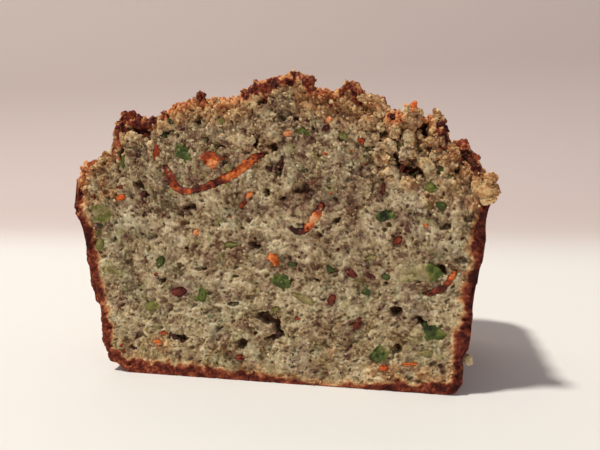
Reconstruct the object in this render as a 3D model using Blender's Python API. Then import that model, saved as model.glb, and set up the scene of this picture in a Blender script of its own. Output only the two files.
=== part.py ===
"""A half loaf of vegetable cake, cut straight across, as a solid model in metres.

The loaf stands on its flat bottom with the cut face towards -Y and the rounded,
crusted heel towards +Y. The origin is at the middle of the bottom. Pieces of carrot,
red pepper and courgette that show in the cut face are solids of their own, and each
lies in a shallow pocket of the loaf with its front flush with the cut.
"""

import itertools
import math

import bmesh
import bpy
import numpy as np
from mathutils import Matrix, Vector

# Sizes of the loaf
LENGTH = 0.055                 # cut face to heel, at the shoulder
BOTTOM_LENGTH = 0.048          # cut face to heel, along the bottom
SHOULDER_HEIGHT = 0.050        # where the tin's wall ends and the dome begins
DOME_RISE = 0.028              # the dome's smooth top above the shoulder
LEFT_FOOT = 0.0502             # from the middle to the left side, at the bottom
RIGHT_FOOT = 0.0486            # the same to the right side
HALF_WIDTH = 0.057             # from the middle to the lip, on both sides
LIP_GROWTH = (0.0009, 0.0019)  # how far the lip stands out past the left and right wall
LIP_HEIGHT = 0.0030            # over what height the lip fades
FOOT_RADIUS = 0.0035           # rounding along the bottom edges
HEEL_RADIUS = 0.012            # rounding of the heel's two upright edges
DOME_POWER = 2.6               # how square the dome is across, 2 being an ellipse
DOME_ROUNDING = 0.625
HEEL_POWER = 2.4               # how square the dome is where it falls to the heel

# Relief of the baked surface
TOP_LUMP = 0.0036              # height of the large lumps of the top crust
TOP_LUMP_SIZE = 0.0105
TOP_KNOB = 0.0022              # height of the smaller knobs on them
TOP_KNOB_SIZE = 0.0058
WALL_DENT = 0.0006             # how deep the walls dip between their high places
WALL_DENT_SIZE = 0.016
EDGE_FADE = 0.009              # how far the cut's own outline reaches into the loaf

# Grid of the loaf: how many strips across, along and up
STRIPS_ACROSS = 56
STRIPS_ALONG = 25
STRIPS_UP = 15

# Outline of the top at the cut, from the left lip to the right lip: X and Z
TOP_OUTLINE = (
    (-0.0570, 0.0500), (-0.0567, 0.0555), (-0.0545, 0.0592), (-0.0505, 0.0619),
    (-0.0460, 0.0640), (-0.0447, 0.0685), (-0.0410, 0.0748), (-0.0360, 0.0730),
    (-0.0300, 0.0738), (-0.0240, 0.0764), (-0.0182, 0.0790), (-0.0150, 0.0764),
    (-0.0085, 0.0773), (-0.0028, 0.0810), (0.0070, 0.0830), (0.0110, 0.0818),
    (0.0140, 0.0780), (0.0185, 0.0782), (0.0210, 0.0802), (0.0240, 0.0798),
    (0.0275, 0.0746), (0.0322, 0.0706), (0.0370, 0.0738), (0.0402, 0.0703),
    (0.0438, 0.0705), (0.0452, 0.0655), (0.0490, 0.0640), (0.0525, 0.0602),
    (0.0555, 0.0560), (0.0570, 0.0500),
)

# Vegetable pieces in the cut face
PIECE_DEPTH = 0.0028           # how far a piece reaches in from the cut
GAP = 0.0003                   # clear space between a piece and its pocket
CUTTER_REACH = 0.002           # how far a pocket's cutter stands out before the cut
CHUNK_SIDES = 14
CHUNK_BACK = 0.8               # width of a chunk's back, as a share of its front
STRIP_STEPS = 26

# Strips of carrot and pepper: X, Z and width along the middle
CARROT_CURL = (
    (-0.0294, 0.0600, 0.0020), (-0.0282, 0.0576, 0.0027), (-0.0270, 0.0549, 0.0027),
    (-0.0252, 0.0532, 0.0022), (-0.0229, 0.0527, 0.0018), (-0.0202, 0.0531, 0.0017),
    (-0.0169, 0.0540, 0.0020), (-0.0144, 0.0550, 0.0023), (-0.0113, 0.0563, 0.0027),
    (-0.0083, 0.0578, 0.0027), (-0.0057, 0.0595, 0.0025), (-0.0038, 0.0609, 0.0024),
    (-0.0022, 0.0618, 0.0020), (-0.0006, 0.0621, 0.0012),
)
PEPPER_STRIP = (
    (0.0141, 0.0495, 0.0018), (0.0134, 0.0474, 0.0026), (0.0126, 0.0460, 0.0029),
    (0.0116, 0.0446, 0.0027), (0.0108, 0.0434, 0.0023), (0.0098, 0.0424, 0.0020),
    (0.0083, 0.0419, 0.0019), (0.0068, 0.0422, 0.0020), (0.0053, 0.0430, 0.0015),
)
CARROT_SHRED = (
    (0.0400, 0.0265, 0.0016), (0.0420, 0.0268, 0.0020), (0.0436, 0.0276, 0.0019),
    (0.0450, 0.0285, 0.0018), (0.0460, 0.0297, 0.0017), (0.0467, 0.0311, 0.0017),
    (0.0474, 0.0326, 0.0015),
)

# Chunks: name, kind, X, Z, length, width, turn in degrees from level
CHUNKS = (
    ("carrot_chunk", "carrot", -0.0156, 0.0612, 0.0062, 0.0050, -38.0),
    ("carrot_piece", "carrot", 0.0010, 0.0343, 0.0042, 0.0032, -50.0),
    ("courgette_rind", "rind", -0.0237, 0.0631, 0.0058, 0.0042, -30.0),
    ("courgette_slice_1", "flesh", 0.0388, 0.0315, 0.0112, 0.0052, 8.0),
    ("courgette_slice_2", "flesh", 0.0425, 0.0163, 0.0062, 0.0046, -35.0),
    ("courgette_slice_3", "flesh", 0.0290, 0.0102, 0.0058, 0.0044, 30.0),
    ("courgette_slice_4", "flesh", 0.0029, 0.0285, 0.0064, 0.0044, -32.0),
    ("courgette_slice_5", "flesh", -0.0494, 0.0466, 0.0076, 0.0058, -25.0),
    ("courgette_slice_6", "flesh", -0.0481, 0.0302, 0.0060, 0.0036, 5.0),
    ("courgette_slice_7", "flesh", 0.0304, 0.0462, 0.0052, 0.0034, 10.0),
)

# Colours as linear RGB, with roughness
CRUST = ((0.105, 0.026, 0.010), 0.80)
CRUMB = ((0.262, 0.184, 0.100), 0.90)
CARROT = ((0.480, 0.105, 0.022), 0.45)
PEPPER = ((0.400, 0.055, 0.020), 0.45)
FLESH = ((0.215, 0.190, 0.075), 0.45)
RIND = ((0.055, 0.085, 0.025), 0.50)


def lattice_noise(points, cell, seed):
    """Smooth noise from -1 to 1: random values on a lattice, blended between corners."""
    size = 64
    values = np.random.default_rng(seed).uniform(-1.0, 1.0, (size, size, size))
    place = points / cell + size / 2
    corner = np.floor(place).astype(int)
    part = place - corner
    part = part * part * (3.0 - 2.0 * part)
    total = np.zeros(len(points))
    for step in itertools.product((0, 1), repeat=3):
        weight = np.prod(np.where(np.array(step) == 1, part, 1.0 - part), axis=1)
        index = (corner + step) % size
        total += weight * values[index[:, 0], index[:, 1], index[:, 2]]
    return total


def fillet(distance, radius):
    """How far a quarter round pulls a wall in, at a distance before the corner's plane."""
    share = np.clip(1.0 - distance / radius, 0.0, 1.0)
    return radius * (1.0 - np.sqrt(1.0 - share ** 2))


def cut_block(levels):
    """A cube cut into a grid by planes at the given levels along X, Y and Z."""
    block = bmesh.new()
    bmesh.ops.create_cube(block, size=2.0)
    for axis, places in enumerate(levels):
        normal = Vector((0.0, 0.0, 0.0))
        normal[axis] = 1.0
        for place in places[1:-1]:
            bmesh.ops.bisect_plane(
                block,
                geom=block.verts[:] + block.edges[:] + block.faces[:],
                plane_co=normal * float(place),
                plane_no=normal,
            )
    return block


def block_levels():
    """Levels of the loaf's grid: close at the lips, at the heel and along the bottom."""
    across = np.linspace(-1.0, 1.0, STRIPS_ACROSS + 1)
    across = across * (1.3 - 0.3 * across ** 2)
    along = 1.0 - (1.0 - np.linspace(0.0, 1.0, STRIPS_ALONG + 1)) ** 1.5
    up = np.linspace(0.0, 1.0, STRIPS_UP + 1) ** 1.6
    return across, along * 2.0 - 1.0, up * 2.0 - 1.0


def loaf_points(grid):
    """Carries the block's grid points, from -1 to 1, onto the loaf.

    Each point has a share across, along and up. Its height is its share of the top's
    height over that place. The walls lean out from the foot to the shoulder as the tin
    does, and quarter rounds pull them in at the foot and at the heel's upright edges.
    """
    across = grid[:, 0]
    along = (grid[:, 1] + 1.0) / 2.0
    up = (grid[:, 2] + 1.0) / 2.0

    heel_pull = fillet((1.0 - along) * LENGTH, HEEL_RADIUS)
    flat = np.column_stack((across * (HALF_WIDTH - heel_pull), along * LENGTH, 0.0 * up))
    from_cut = np.exp(-((along * LENGTH / EDGE_FADE) ** 2))

    dome = np.clip(1.0 - np.abs(across) ** DOME_POWER, 0.0, 1.0) ** DOME_ROUNDING
    fall = np.clip(1.0 - along ** HEEL_POWER, 0.0, 1.0) ** (1.0 / HEEL_POWER)
    outline = np.array(TOP_OUTLINE)
    cut_height = np.interp(across * HALF_WIDTH, outline[:, 0], outline[:, 1])
    detail = cut_height - SHOULDER_HEIGHT - DOME_RISE * dome
    lumps = TOP_LUMP * lattice_noise(flat, TOP_LUMP_SIZE, 11)
    lumps += TOP_KNOB * lattice_noise(flat, TOP_KNOB_SIZE, 12)
    rim = np.clip(4.0 * dome * fall, 0.0, 1.0)
    top = SHOULDER_HEIGHT + DOME_RISE * dome * fall
    top += detail * from_cut + lumps * rim * (1.0 - from_cut)
    z = up * top

    wall = np.minimum(z, SHOULDER_HEIGHT) / SHOULDER_HEIGHT
    foot = np.where(across < 0.0, LEFT_FOOT, RIGHT_FOOT)
    lip = np.where(across < 0.0, LIP_GROWTH[0], LIP_GROWTH[1])
    lip = lip * np.exp(-((np.minimum(z - SHOULDER_HEIGHT, 0.0) / LIP_HEIGHT) ** 2))
    lean = HALF_WIDTH - foot - np.where(across < 0.0, LIP_GROWTH[0], LIP_GROWTH[1])
    half = foot + lean * wall + lip - fillet(z, FOOT_RADIUS) - heel_pull
    depth = BOTTOM_LENGTH + (LENGTH - BOTTOM_LENGTH) * wall - fillet(z, FOOT_RADIUS)

    around = np.column_stack((across * half, along * depth, z))
    dent = WALL_DENT * (lattice_noise(around, WALL_DENT_SIZE, 13) - 1.0) / 2.0
    dent *= np.clip(z / FOOT_RADIUS - 1.0, 0.0, 1.0) * np.clip(4.0 - 4.0 * wall, 0.0, 1.0)
    x = across * (half + dent)
    y = along * (depth + dent * along) - LENGTH / 2.0
    return np.column_stack((x, y, z))


def principled(name, finish):
    """A material with one colour and roughness."""
    colour, roughness = finish
    material = bpy.data.materials.new(name)
    material.use_nodes = True
    shader = material.node_tree.nodes["Principled BSDF"]
    shader.inputs["Base Color"].default_value = (*colour, 1.0)
    shader.inputs["Roughness"].default_value = roughness
    shader.inputs["Metallic"].default_value = 0.0
    return material


def add_object(name, mesh_data, collection, materials, parent=None):
    """Makes an object from a bmesh, links it and gives it its materials."""
    data = bpy.data.meshes.new(name)
    mesh_data.to_mesh(data)
    mesh_data.free()
    for material in materials:
        data.materials.append(material)
    made = bpy.data.objects.new(name, data)
    made.parent = parent
    collection.objects.link(made)
    return made


def make_loaf(collection, materials, parent):
    """The crumb and its crust as one solid: a gridded block carried onto the loaf."""
    block = cut_block(block_levels())
    grid = np.array([vertex.co[:] for vertex in block.verts])
    for vertex, place in zip(block.verts, loaf_points(grid)):
        vertex.co = place
    block.normal_update()
    for face in block.faces:
        face.material_index = 1 if face.normal.y < -0.999 else 0
    flat = [edge for edge in block.edges if is_flat(edge)]
    bmesh.ops.dissolve_edges(block, edges=flat, use_verts=True)
    return add_object("loaf", block, collection, materials, parent)


def is_flat(edge):
    """Whether an edge lies inside the cut face or inside the flat bottom."""
    first, second = edge.link_faces
    level = first.normal.y < -0.9999 or first.normal.z < -0.9999
    return level and first.normal.dot(second.normal) > 0.999999


def smooth_path(knots, count):
    """Points along a Catmull-Rom curve through the knots, evenly spread over them."""
    knots = np.array(knots)
    padded = np.vstack((2 * knots[0] - knots[1], knots, 2 * knots[-1] - knots[-2]))
    place = np.linspace(0.0, len(knots) - 1.0, count)
    index = np.minimum(place.astype(int), len(knots) - 2)
    t = (place - index)[:, None]
    before, start, end, after = (padded[index + step] for step in range(4))
    return 0.5 * (
        2.0 * start
        + (end - before) * t
        + (2.0 * before - 5.0 * start + 4.0 * end - after) * t ** 2
        + (3.0 * start - before - 3.0 * end + after) * t ** 3
    )


def depth_places(share, grow, reach):
    """Places along Y for shares from -1, the front, to 1, the back."""
    front = -reach
    back = PIECE_DEPTH + grow
    return front + (back - front) * (share + 1.0) / 2.0


def strip_block(knots, grow, reach):
    """A bar bent along a curve in the cut plane, as wide as the knots say."""
    steps = np.linspace(-1.0, 1.0, STRIP_STEPS + 1)
    block = cut_block((steps, (-1.0, 1.0), (-1.0, 1.0)))
    path = smooth_path(knots, STRIP_STEPS + 1)
    along = np.gradient(path[:, :2], axis=0)
    along /= np.linalg.norm(along, axis=1)[:, None]
    middle = path[:, :2].copy()
    middle[0] -= along[0] * grow
    middle[-1] += along[-1] * grow
    for vertex in block.verts:
        step = int(round((vertex.co.x + 1.0) / 2.0 * STRIP_STEPS))
        half = (path[step, 2] / 2.0 + grow) * vertex.co.z
        x = middle[step, 0] - along[step, 1] * half
        z = middle[step, 1] + along[step, 0] * half
        vertex.co = (x, depth_places(vertex.co.y, grow, reach), z)
    return block


def chunk_block(length, width, seed, grow, reach):
    """A short prism with an uneven oval outline, a little narrower at its back."""
    block = bmesh.new()
    bmesh.ops.create_cone(
        block,
        cap_ends=True,
        segments=CHUNK_SIDES,
        radius1=1.0,
        radius2=1.0,
        depth=2.0,
    )
    bmesh.ops.rotate(block, verts=block.verts[:], matrix=Matrix.Rotation(math.pi / 2, 3, "X"))
    shift = np.random.default_rng(seed).uniform(0.0, 2.0 * math.pi, 2)
    for vertex in block.verts:
        angle = math.atan2(vertex.co.z, vertex.co.x)
        uneven = 0.94 + 0.06 * math.cos(2.0 * angle + shift[0])
        uneven += 0.06 * math.cos(3.0 * angle + shift[1])
        y = depth_places(vertex.co.y, grow, reach)
        share = uneven * (1.0 - (1.0 - CHUNK_BACK) * y / PIECE_DEPTH)
        x = math.cos(angle) * (length / 2.0 * share + grow)
        z = math.sin(angle) * (width / 2.0 * share + grow)
        vertex.co = (x, y, z)
    return block


def place_on_cut(made, x, z, turn):
    """Puts a piece's origin on the cut face and turns it in the plane of the cut."""
    made.location = (x, -LENGTH / 2.0, z)
    made.rotation_euler = (0.0, -math.radians(turn), 0.0)


def hide_cutter(made):
    """Marks an object as a tool for cutting, not a part of the model."""
    made.hide_render = True
    made.display_type = "WIRE"


def make_strip(name, knots, material, parts, cutters, parent):
    """A strip in the cut face, with the cutter of its pocket."""
    piece = add_object(name, strip_block(knots, 0.0, 0.0), parts, (material,), parent)
    place_on_cut(piece, 0.0, 0.0, 0.0)
    block = strip_block(knots, GAP, CUTTER_REACH)
    cutter = add_object(name + "_cutter", block, cutters, (), parent)
    place_on_cut(cutter, 0.0, 0.0, 0.0)
    hide_cutter(cutter)


def make_chunk(row, seed, material, parts, cutters, parent):
    """A chunk in the cut face, with the cutter of its pocket."""
    name, _, x, z, length, width, turn = row
    block = chunk_block(length, width, seed, 0.0, 0.0)
    piece = add_object(name, block, parts, (material,), parent)
    place_on_cut(piece, x, z, turn)
    block = chunk_block(length, width, seed, GAP, CUTTER_REACH)
    cutter = add_object(name + "_cutter", block, cutters, (), parent)
    place_on_cut(cutter, x, z, turn)
    hide_cutter(cutter)


def new_collection(name):
    """A collection linked to the scene."""
    collection = bpy.data.collections.new(name)
    bpy.context.scene.collection.children.link(collection)
    return collection


def clear_scene():
    """Removes what a new file holds."""
    for leftover in list(bpy.data.objects):
        bpy.data.objects.remove(leftover, do_unlink=True)


def main():
    """Builds the loaf, its vegetable pieces and their pockets."""
    clear_scene()
    parts = new_collection("vegetable_cake")
    cutters = new_collection("pocket_cutters")
    base = bpy.data.objects.new("cake_base", None)
    parts.objects.link(base)

    crust = principled("baked_crust", CRUST)
    crumb = principled("crumb", CRUMB)
    kinds = {
        "carrot": principled("carrot", CARROT),
        "flesh": principled("courgette_flesh", FLESH),
        "rind": principled("courgette_rind", RIND),
    }
    pepper = principled("red_pepper", PEPPER)

    loaf = make_loaf(parts, (crust, crumb), base)
    make_strip("carrot_curl", CARROT_CURL, kinds["carrot"], parts, cutters, base)
    make_strip("carrot_shred", CARROT_SHRED, kinds["carrot"], parts, cutters, base)
    make_strip("pepper_strip", PEPPER_STRIP, pepper, parts, cutters, base)
    for seed, row in enumerate(CHUNKS):
        make_chunk(row, seed, kinds[row[1]], parts, cutters, base)

    pockets = loaf.modifiers.new("pockets", "BOOLEAN")
    pockets.operation = "DIFFERENCE"
    pockets.operand_type = "COLLECTION"
    pockets.collection = cutters
    pockets.solver = "EXACT"


main()
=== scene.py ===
"""Looks of the end piece of a vegetable loaf cake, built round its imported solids.

Lengths are in millimetres, unless a name says otherwise, and each mesh is brought to
metres once, when its object is made. The cut face looks along -Y, +Z is up and the
crusted heel is at +Y.
"""

import itertools
import logging
import math
from collections.abc import Callable
from dataclasses import astuple, dataclass, field
from enum import Enum

import bpy
import numpy as np
from mathutils import Matrix
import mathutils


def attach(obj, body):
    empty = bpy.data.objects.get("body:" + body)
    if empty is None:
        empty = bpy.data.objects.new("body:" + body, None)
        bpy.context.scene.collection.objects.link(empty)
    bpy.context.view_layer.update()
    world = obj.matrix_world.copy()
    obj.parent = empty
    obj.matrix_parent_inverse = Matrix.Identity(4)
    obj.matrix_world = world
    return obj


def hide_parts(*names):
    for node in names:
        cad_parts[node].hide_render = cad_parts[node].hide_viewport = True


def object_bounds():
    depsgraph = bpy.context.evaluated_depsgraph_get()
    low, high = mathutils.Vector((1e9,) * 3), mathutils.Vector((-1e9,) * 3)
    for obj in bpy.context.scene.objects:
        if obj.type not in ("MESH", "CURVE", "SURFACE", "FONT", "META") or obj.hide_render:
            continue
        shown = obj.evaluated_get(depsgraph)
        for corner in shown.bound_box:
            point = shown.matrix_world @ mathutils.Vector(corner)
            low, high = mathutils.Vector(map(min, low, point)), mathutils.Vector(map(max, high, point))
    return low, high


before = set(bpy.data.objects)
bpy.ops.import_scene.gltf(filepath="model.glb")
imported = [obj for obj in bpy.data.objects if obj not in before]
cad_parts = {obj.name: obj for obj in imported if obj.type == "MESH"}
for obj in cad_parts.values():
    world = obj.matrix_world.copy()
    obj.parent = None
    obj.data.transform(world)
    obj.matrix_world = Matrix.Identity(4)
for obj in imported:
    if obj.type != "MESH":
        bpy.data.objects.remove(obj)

METRE = 1000.0  # millimetres in a metre
BODY = "root"
LATTICE_AXES = np.linalg.qr(((1.0, 0.6, 0.3), (-0.5, 1.0, 0.7), (0.2, -0.8, 1.0)))[0]
LATTICE_SIZE = 64
HASH_FACTORS = np.array((0x8DA6B343, 0xD8163841, 0xCB1AB31F), np.uint32)
HASH_FOLD = np.uint32(0x45D9F3B)
SEED_STEP, SEED_START = 7919, 17
SPREADS = (17.0, 91.0, 53.0)  # factors that turn a grain's number into three others
log = logging.getLogger("vegetable_cake")

Array = np.ndarray
Shares = dict[str, Array]
Span = tuple[float, float]
Vector = tuple[float, float, float]
Colour = Vector
Stops = tuple[tuple[float, Colour], ...]
Knots = tuple[tuple[float, ...], ...]


def smooth_step(value: Array) -> Array:
    """Eases shares: 0 below 0, 1 above 1 and a smooth S between them."""
    share = np.clip(value, 0.0, 1.0)
    return share * share * (3.0 - 2.0 * share)


def rise(value: Array, start: float, end: float) -> Array:
    """Eases from 0 at start to 1 at end, which may lie below start."""
    return smooth_step((value - start) / (end - start))


def read_knots(knots: Knots, place: Array, column: int = 1) -> Array:
    """Reads a table of knots at places along its first column, straight between its rows."""
    table = np.array(knots)
    return np.interp(place, table[:, 0], table[:, column])


def turned(x: Array, z: Array, degrees: float) -> tuple[Array, Array]:
    """Places in a plane, read along axes that are turned from the X axis up."""
    turn = math.radians(degrees)
    return x * math.cos(turn) + z * math.sin(turn), z * math.cos(turn) - x * math.sin(turn)


def from_rows(maker: Callable, *rows: tuple[float, ...]) -> tuple:
    """Makes one thing from each row of its numbers."""
    return tuple(maker(*row) for row in rows)


def lattice_noise(points: Array, cell: float, seed: int) -> Array:
    """Smooth noise: random values on a cubic lattice, eased between their corners.

    The lattice is turned against the cake, so that none of its lines show.

    Args:
        points: Places.
        cell: Size of a lattice cell.
        seed: Which lattice.

    Returns:
        Numbers from -1 to 1.
    """
    values = np.random.default_rng(seed).uniform(-1.0, 1.0, (LATTICE_SIZE,) * 3)
    place = points @ LATTICE_AXES / cell + LATTICE_SIZE / 2
    corner = np.floor(place).astype(int)
    part = smooth_step(place - corner)
    total = np.zeros(len(points))
    for step in itertools.product((0, 1), repeat=3):
        weight = np.prod(np.where(np.array(step) == 1, part, 1.0 - part), axis=1)
        index = (corner + step) % LATTICE_SIZE
        total += weight * values[index[:, 0], index[:, 1], index[:, 2]]
    return total


def layered_noise(points: Array, cell: float, seed: int, layers: int = 3) -> Array:
    """Sum of noises, each half as large and half as strong as the one before."""
    return sum(lattice_noise(points, cell / 2 ** n, seed + n) / 2 ** n for n in range(layers))


@dataclass(frozen=True)
class Noise:
    """Layered noise of one strength and size."""

    strength: float
    cell: float
    seed: int
    layers: int = 3

    def at(self, points: Array) -> Array:
        """The noise at some places, one number each."""
        return self.strength * layered_noise(points, self.cell, self.seed, self.layers)


def cell_random(cells: Array, seed: int) -> Array:
    """One repeatable number from 0 to 1 for each whole-number cell.

    The cell's three numbers are multiplied by large odd ones, joined and folded.

    Args:
        cells: Rows of three whole numbers.
        seed: Which set of numbers.

    Returns:
        The numbers.
    """
    whole = cells.astype(np.int64).astype(np.uint32) * HASH_FACTORS
    mixed = np.bitwise_xor.reduce(whole, axis=1) ^ np.uint32(seed * SEED_STEP + SEED_START)
    for shift in (16, 13):
        mixed = (mixed ^ (mixed >> np.uint32(shift))) * HASH_FOLD
    return (mixed ^ (mixed >> np.uint32(16))) / 2.0 ** 32


def nearest_grains(points: Array, cell: float, seed: int) -> tuple[Array, Array, Array, Array]:
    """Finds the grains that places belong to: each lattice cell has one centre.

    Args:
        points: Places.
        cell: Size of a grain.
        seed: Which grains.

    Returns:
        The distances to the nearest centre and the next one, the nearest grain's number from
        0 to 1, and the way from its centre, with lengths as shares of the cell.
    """
    place = points / cell
    home = np.floor(place).astype(np.int64)
    near, after = np.full((2, len(points)), np.inf)
    number, way = np.zeros(len(points)), np.zeros_like(points)
    for step in itertools.product((-1, 0, 1), repeat=3):
        corner = home + step
        offset = np.column_stack([cell_random(corner, seed + axis) for axis in range(3)])
        lever = place - corner - offset
        distance = np.linalg.norm(lever, axis=1)
        closer = distance < near
        after = np.where(closer, near, np.minimum(after, distance))
        near = np.where(closer, distance, near)
        number = np.where(closer, cell_random(corner, seed + 3), number)
        way = np.where(closer[:, None], lever, way)
    return near, after, number, way


@dataclass(frozen=True)
class GrainLayer:
    """Packed grains of one size, and how far their domes, tilts and cracks reach."""

    cell: float
    dome: float
    tilt: float
    crack: float
    seed: int
    torn: float = 0.0
    torn_depth: float = 0.0
    crack_width: float = 0.24
    flattest: float = 0.4

    def relief(self, points: Array) -> tuple[Array, Array, Array]:
        """Relief of the grains.

        The dome is the root of one less the square of the distance to the centre, and the
        tilt a random slope times the way from it. A crack runs where the two nearest centres
        are almost equally far. Torn grains lie deeper.

        Args:
            points: Places.

        Returns:
            The relief, the grains' numbers and the cracks, both from 0 to 1.
        """
        near, after, number, way = nearest_grains(points, self.cell, self.seed)
        dome = np.sqrt(np.clip(1.0 - near ** 2, 0.0, 1.0))
        slopes = np.column_stack([number * spread % 1.0 - 0.5 for spread in SPREADS])
        crack = np.clip(1.0 - (after - near) / self.crack_width, 0.0, 1.0)
        relief = self.dome * (dome * (self.flattest + (1.0 - self.flattest) * number) - 0.5)
        relief += self.tilt * 2.0 * (slopes * way).sum(axis=1) - self.crack * crack
        return relief - np.where(number < self.torn, self.torn_depth * dome, 0.0), number, crack


@dataclass(frozen=True)
class PitLayer:
    """Round pits of one size that gas left: a lattice cell has one of them or none."""

    cell: float
    share: float
    radius: Span
    depth: float
    seed: int
    wall: float = 0.16
    shallowest: float = 0.5

    def sink(self, points: Array) -> tuple[Array, Array]:
        """How deep the pits are.

        A cell has a pit where its number is below the share. Radius and depth grow with the
        number, and the wall is a smooth step inwards.

        Args:
            points: Places.

        Returns:
            The depths, and how far each place is in a pit, from 0 to 1.
        """
        near, _, number, _ = nearest_grains(points, self.cell, self.seed)
        grown = number / self.share
        radius = self.radius[0] + (self.radius[1] - self.radius[0]) * grown
        inside = smooth_step((radius / self.cell - near) / self.wall) * (number < self.share)
        deep = self.shallowest + (1.0 - self.shallowest) * grown
        return self.depth * deep * inside, inside


def fillet(distance: Array, radius: float) -> Array:
    """How far a quarter round pulls a wall in, at a distance before the corner's plane."""
    share = np.clip(1.0 - distance / radius, 0.0, 1.0)
    return radius * (1.0 - np.sqrt(1.0 - share ** 2))


def vertex_normals(points: Array, quads: Array) -> Array:
    """Unit normals at the vertices: each quad's crossed diagonals, summed.

    Args:
        points: The vertices.
        quads: Rows of four vertex numbers.

    Returns:
        The normals.
    """
    first = points[quads[:, 2]] - points[quads[:, 0]]
    second = points[quads[:, 3]] - points[quads[:, 1]]
    cross = np.cross(first, second)
    total = np.zeros_like(points)
    for corner, axis in itertools.product(range(4), range(3)):
        total[:, axis] += np.bincount(quads[:, corner], cross[:, axis], len(points))
    return total / np.maximum(np.linalg.norm(total, axis=1), 1e-12)[:, None]


@dataclass
class Surface:
    """A mesh in the making: vertices, faces and the numbers that vary over it."""

    points: Array
    quads: Array
    triangles: Array
    shares: Shares = field(default_factory=dict)
    smooth: bool = True

    def make_object(self, name: str, material: bpy.types.Material) -> bpy.types.Object:
        """Makes the Blender object, at the origin, with its place in its mesh.

        Args:
            name: Its name.
            material: Its finish.

        Returns:
            The linked object.
        """
        mesh = bpy.data.meshes.new(name)
        loops = np.concatenate((self.quads.ravel(), self.triangles.ravel()))
        sides = np.repeat((4, 3), (len(self.quads), len(self.triangles)))
        starts = np.concatenate(((0,), np.cumsum(sides)[:-1]))
        mesh.vertices.add(len(self.points))
        mesh.vertices.foreach_set("co", (self.points / METRE).astype(np.float32).ravel())
        mesh.loops.add(len(loops))
        mesh.loops.foreach_set("vertex_index", loops.astype(np.int32))
        mesh.polygons.add(len(sides))
        mesh.polygons.foreach_set("loop_start", starts.astype(np.int32))
        mesh.polygons.foreach_set("use_smooth", np.full(len(sides), self.smooth))
        for share, values in self.shares.items():
            layer = mesh.attributes.new(share, "FLOAT", "POINT")
            layer.data.foreach_set("value", values.astype(np.float32))
        mesh.update(calc_edges=True)
        mesh.validate()
        mesh.materials.append(material)
        made = bpy.data.objects.new(name, mesh)
        bpy.context.scene.collection.objects.link(made)
        return made


class Side(Enum):
    """Sides of the loaf's grid: the axis that they cross and the end that they are at."""

    LEFT = (0, 0)
    RIGHT = (0, 1)
    CUT = (1, 0)
    HEEL = (1, 1)
    BOTTOM = (2, 0)
    TOP = (2, 1)


@dataclass(frozen=True)
class BoxGrid:
    """A grid over some sides of a box of cells, closed at one open end by a fan."""

    counts: tuple[int, int, int]
    sides: tuple[Side, ...]

    def corners_and_quads(self) -> tuple[Array, Array]:
        """Grid corners as whole numbers, and quads that face outwards.

        Returns:
            The corners, in rows of three, and the quads.
        """
        keys = []
        for side in self.sides:
            axis, end = side.value
            second, third = (axis + 1) % 3, (axis + 2) % 3
            b, c = np.meshgrid(
                np.arange(self.counts[second]), np.arange(self.counts[third]), indexing="ij"
            )
            order = ((0, 0), (1, 0), (1, 1), (0, 1))
            for step_b, step_c in order if end else order[::-1]:
                corner = np.zeros((b.size, 3), dtype=np.int64)
                corner[:, axis] = end * self.counts[axis]
                corner[:, second] = (b + step_b).ravel()
                corner[:, third] = (c + step_c).ravel()
                keys.append(self.key(corner))
        per_side = [np.column_stack(keys[n:n + 4]) for n in range(0, len(keys), 4)]
        used, quads = np.unique(np.concatenate(per_side), return_inverse=True)
        rows, columns = self.counts[1] + 1, self.counts[2] + 1
        corners = np.column_stack((used // (rows * columns), used // columns % rows, used % columns))
        return corners, quads.reshape(-1, 4)

    def key(self, corner: Array) -> Array:
        """One number for each corner, from its three whole numbers."""
        rows, columns = self.counts[1] + 1, self.counts[2] + 1
        return (corner[:, 0] * rows + corner[:, 1]) * columns + corner[:, 2]

    def rim(self, corners: Array, row: int) -> Array:
        """Vertex numbers once round the box at one row, anticlockwise from the cut.

        Args:
            corners: The grid's corners.
            row: Which row along the box.

        Returns:
            The numbers.
        """
        across, up = self.counts[0], self.counts[2]
        right, high = np.arange(across), np.arange(up)
        i = np.concatenate((right, np.full(up, across), across - right, np.zeros(up, int)))
        k = np.concatenate((np.zeros(across, int), high, np.full(across, up), up - high))
        loop = np.column_stack((i, np.full(len(i), row), k))
        return np.searchsorted(self.key(corners), self.key(loop))


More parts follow.
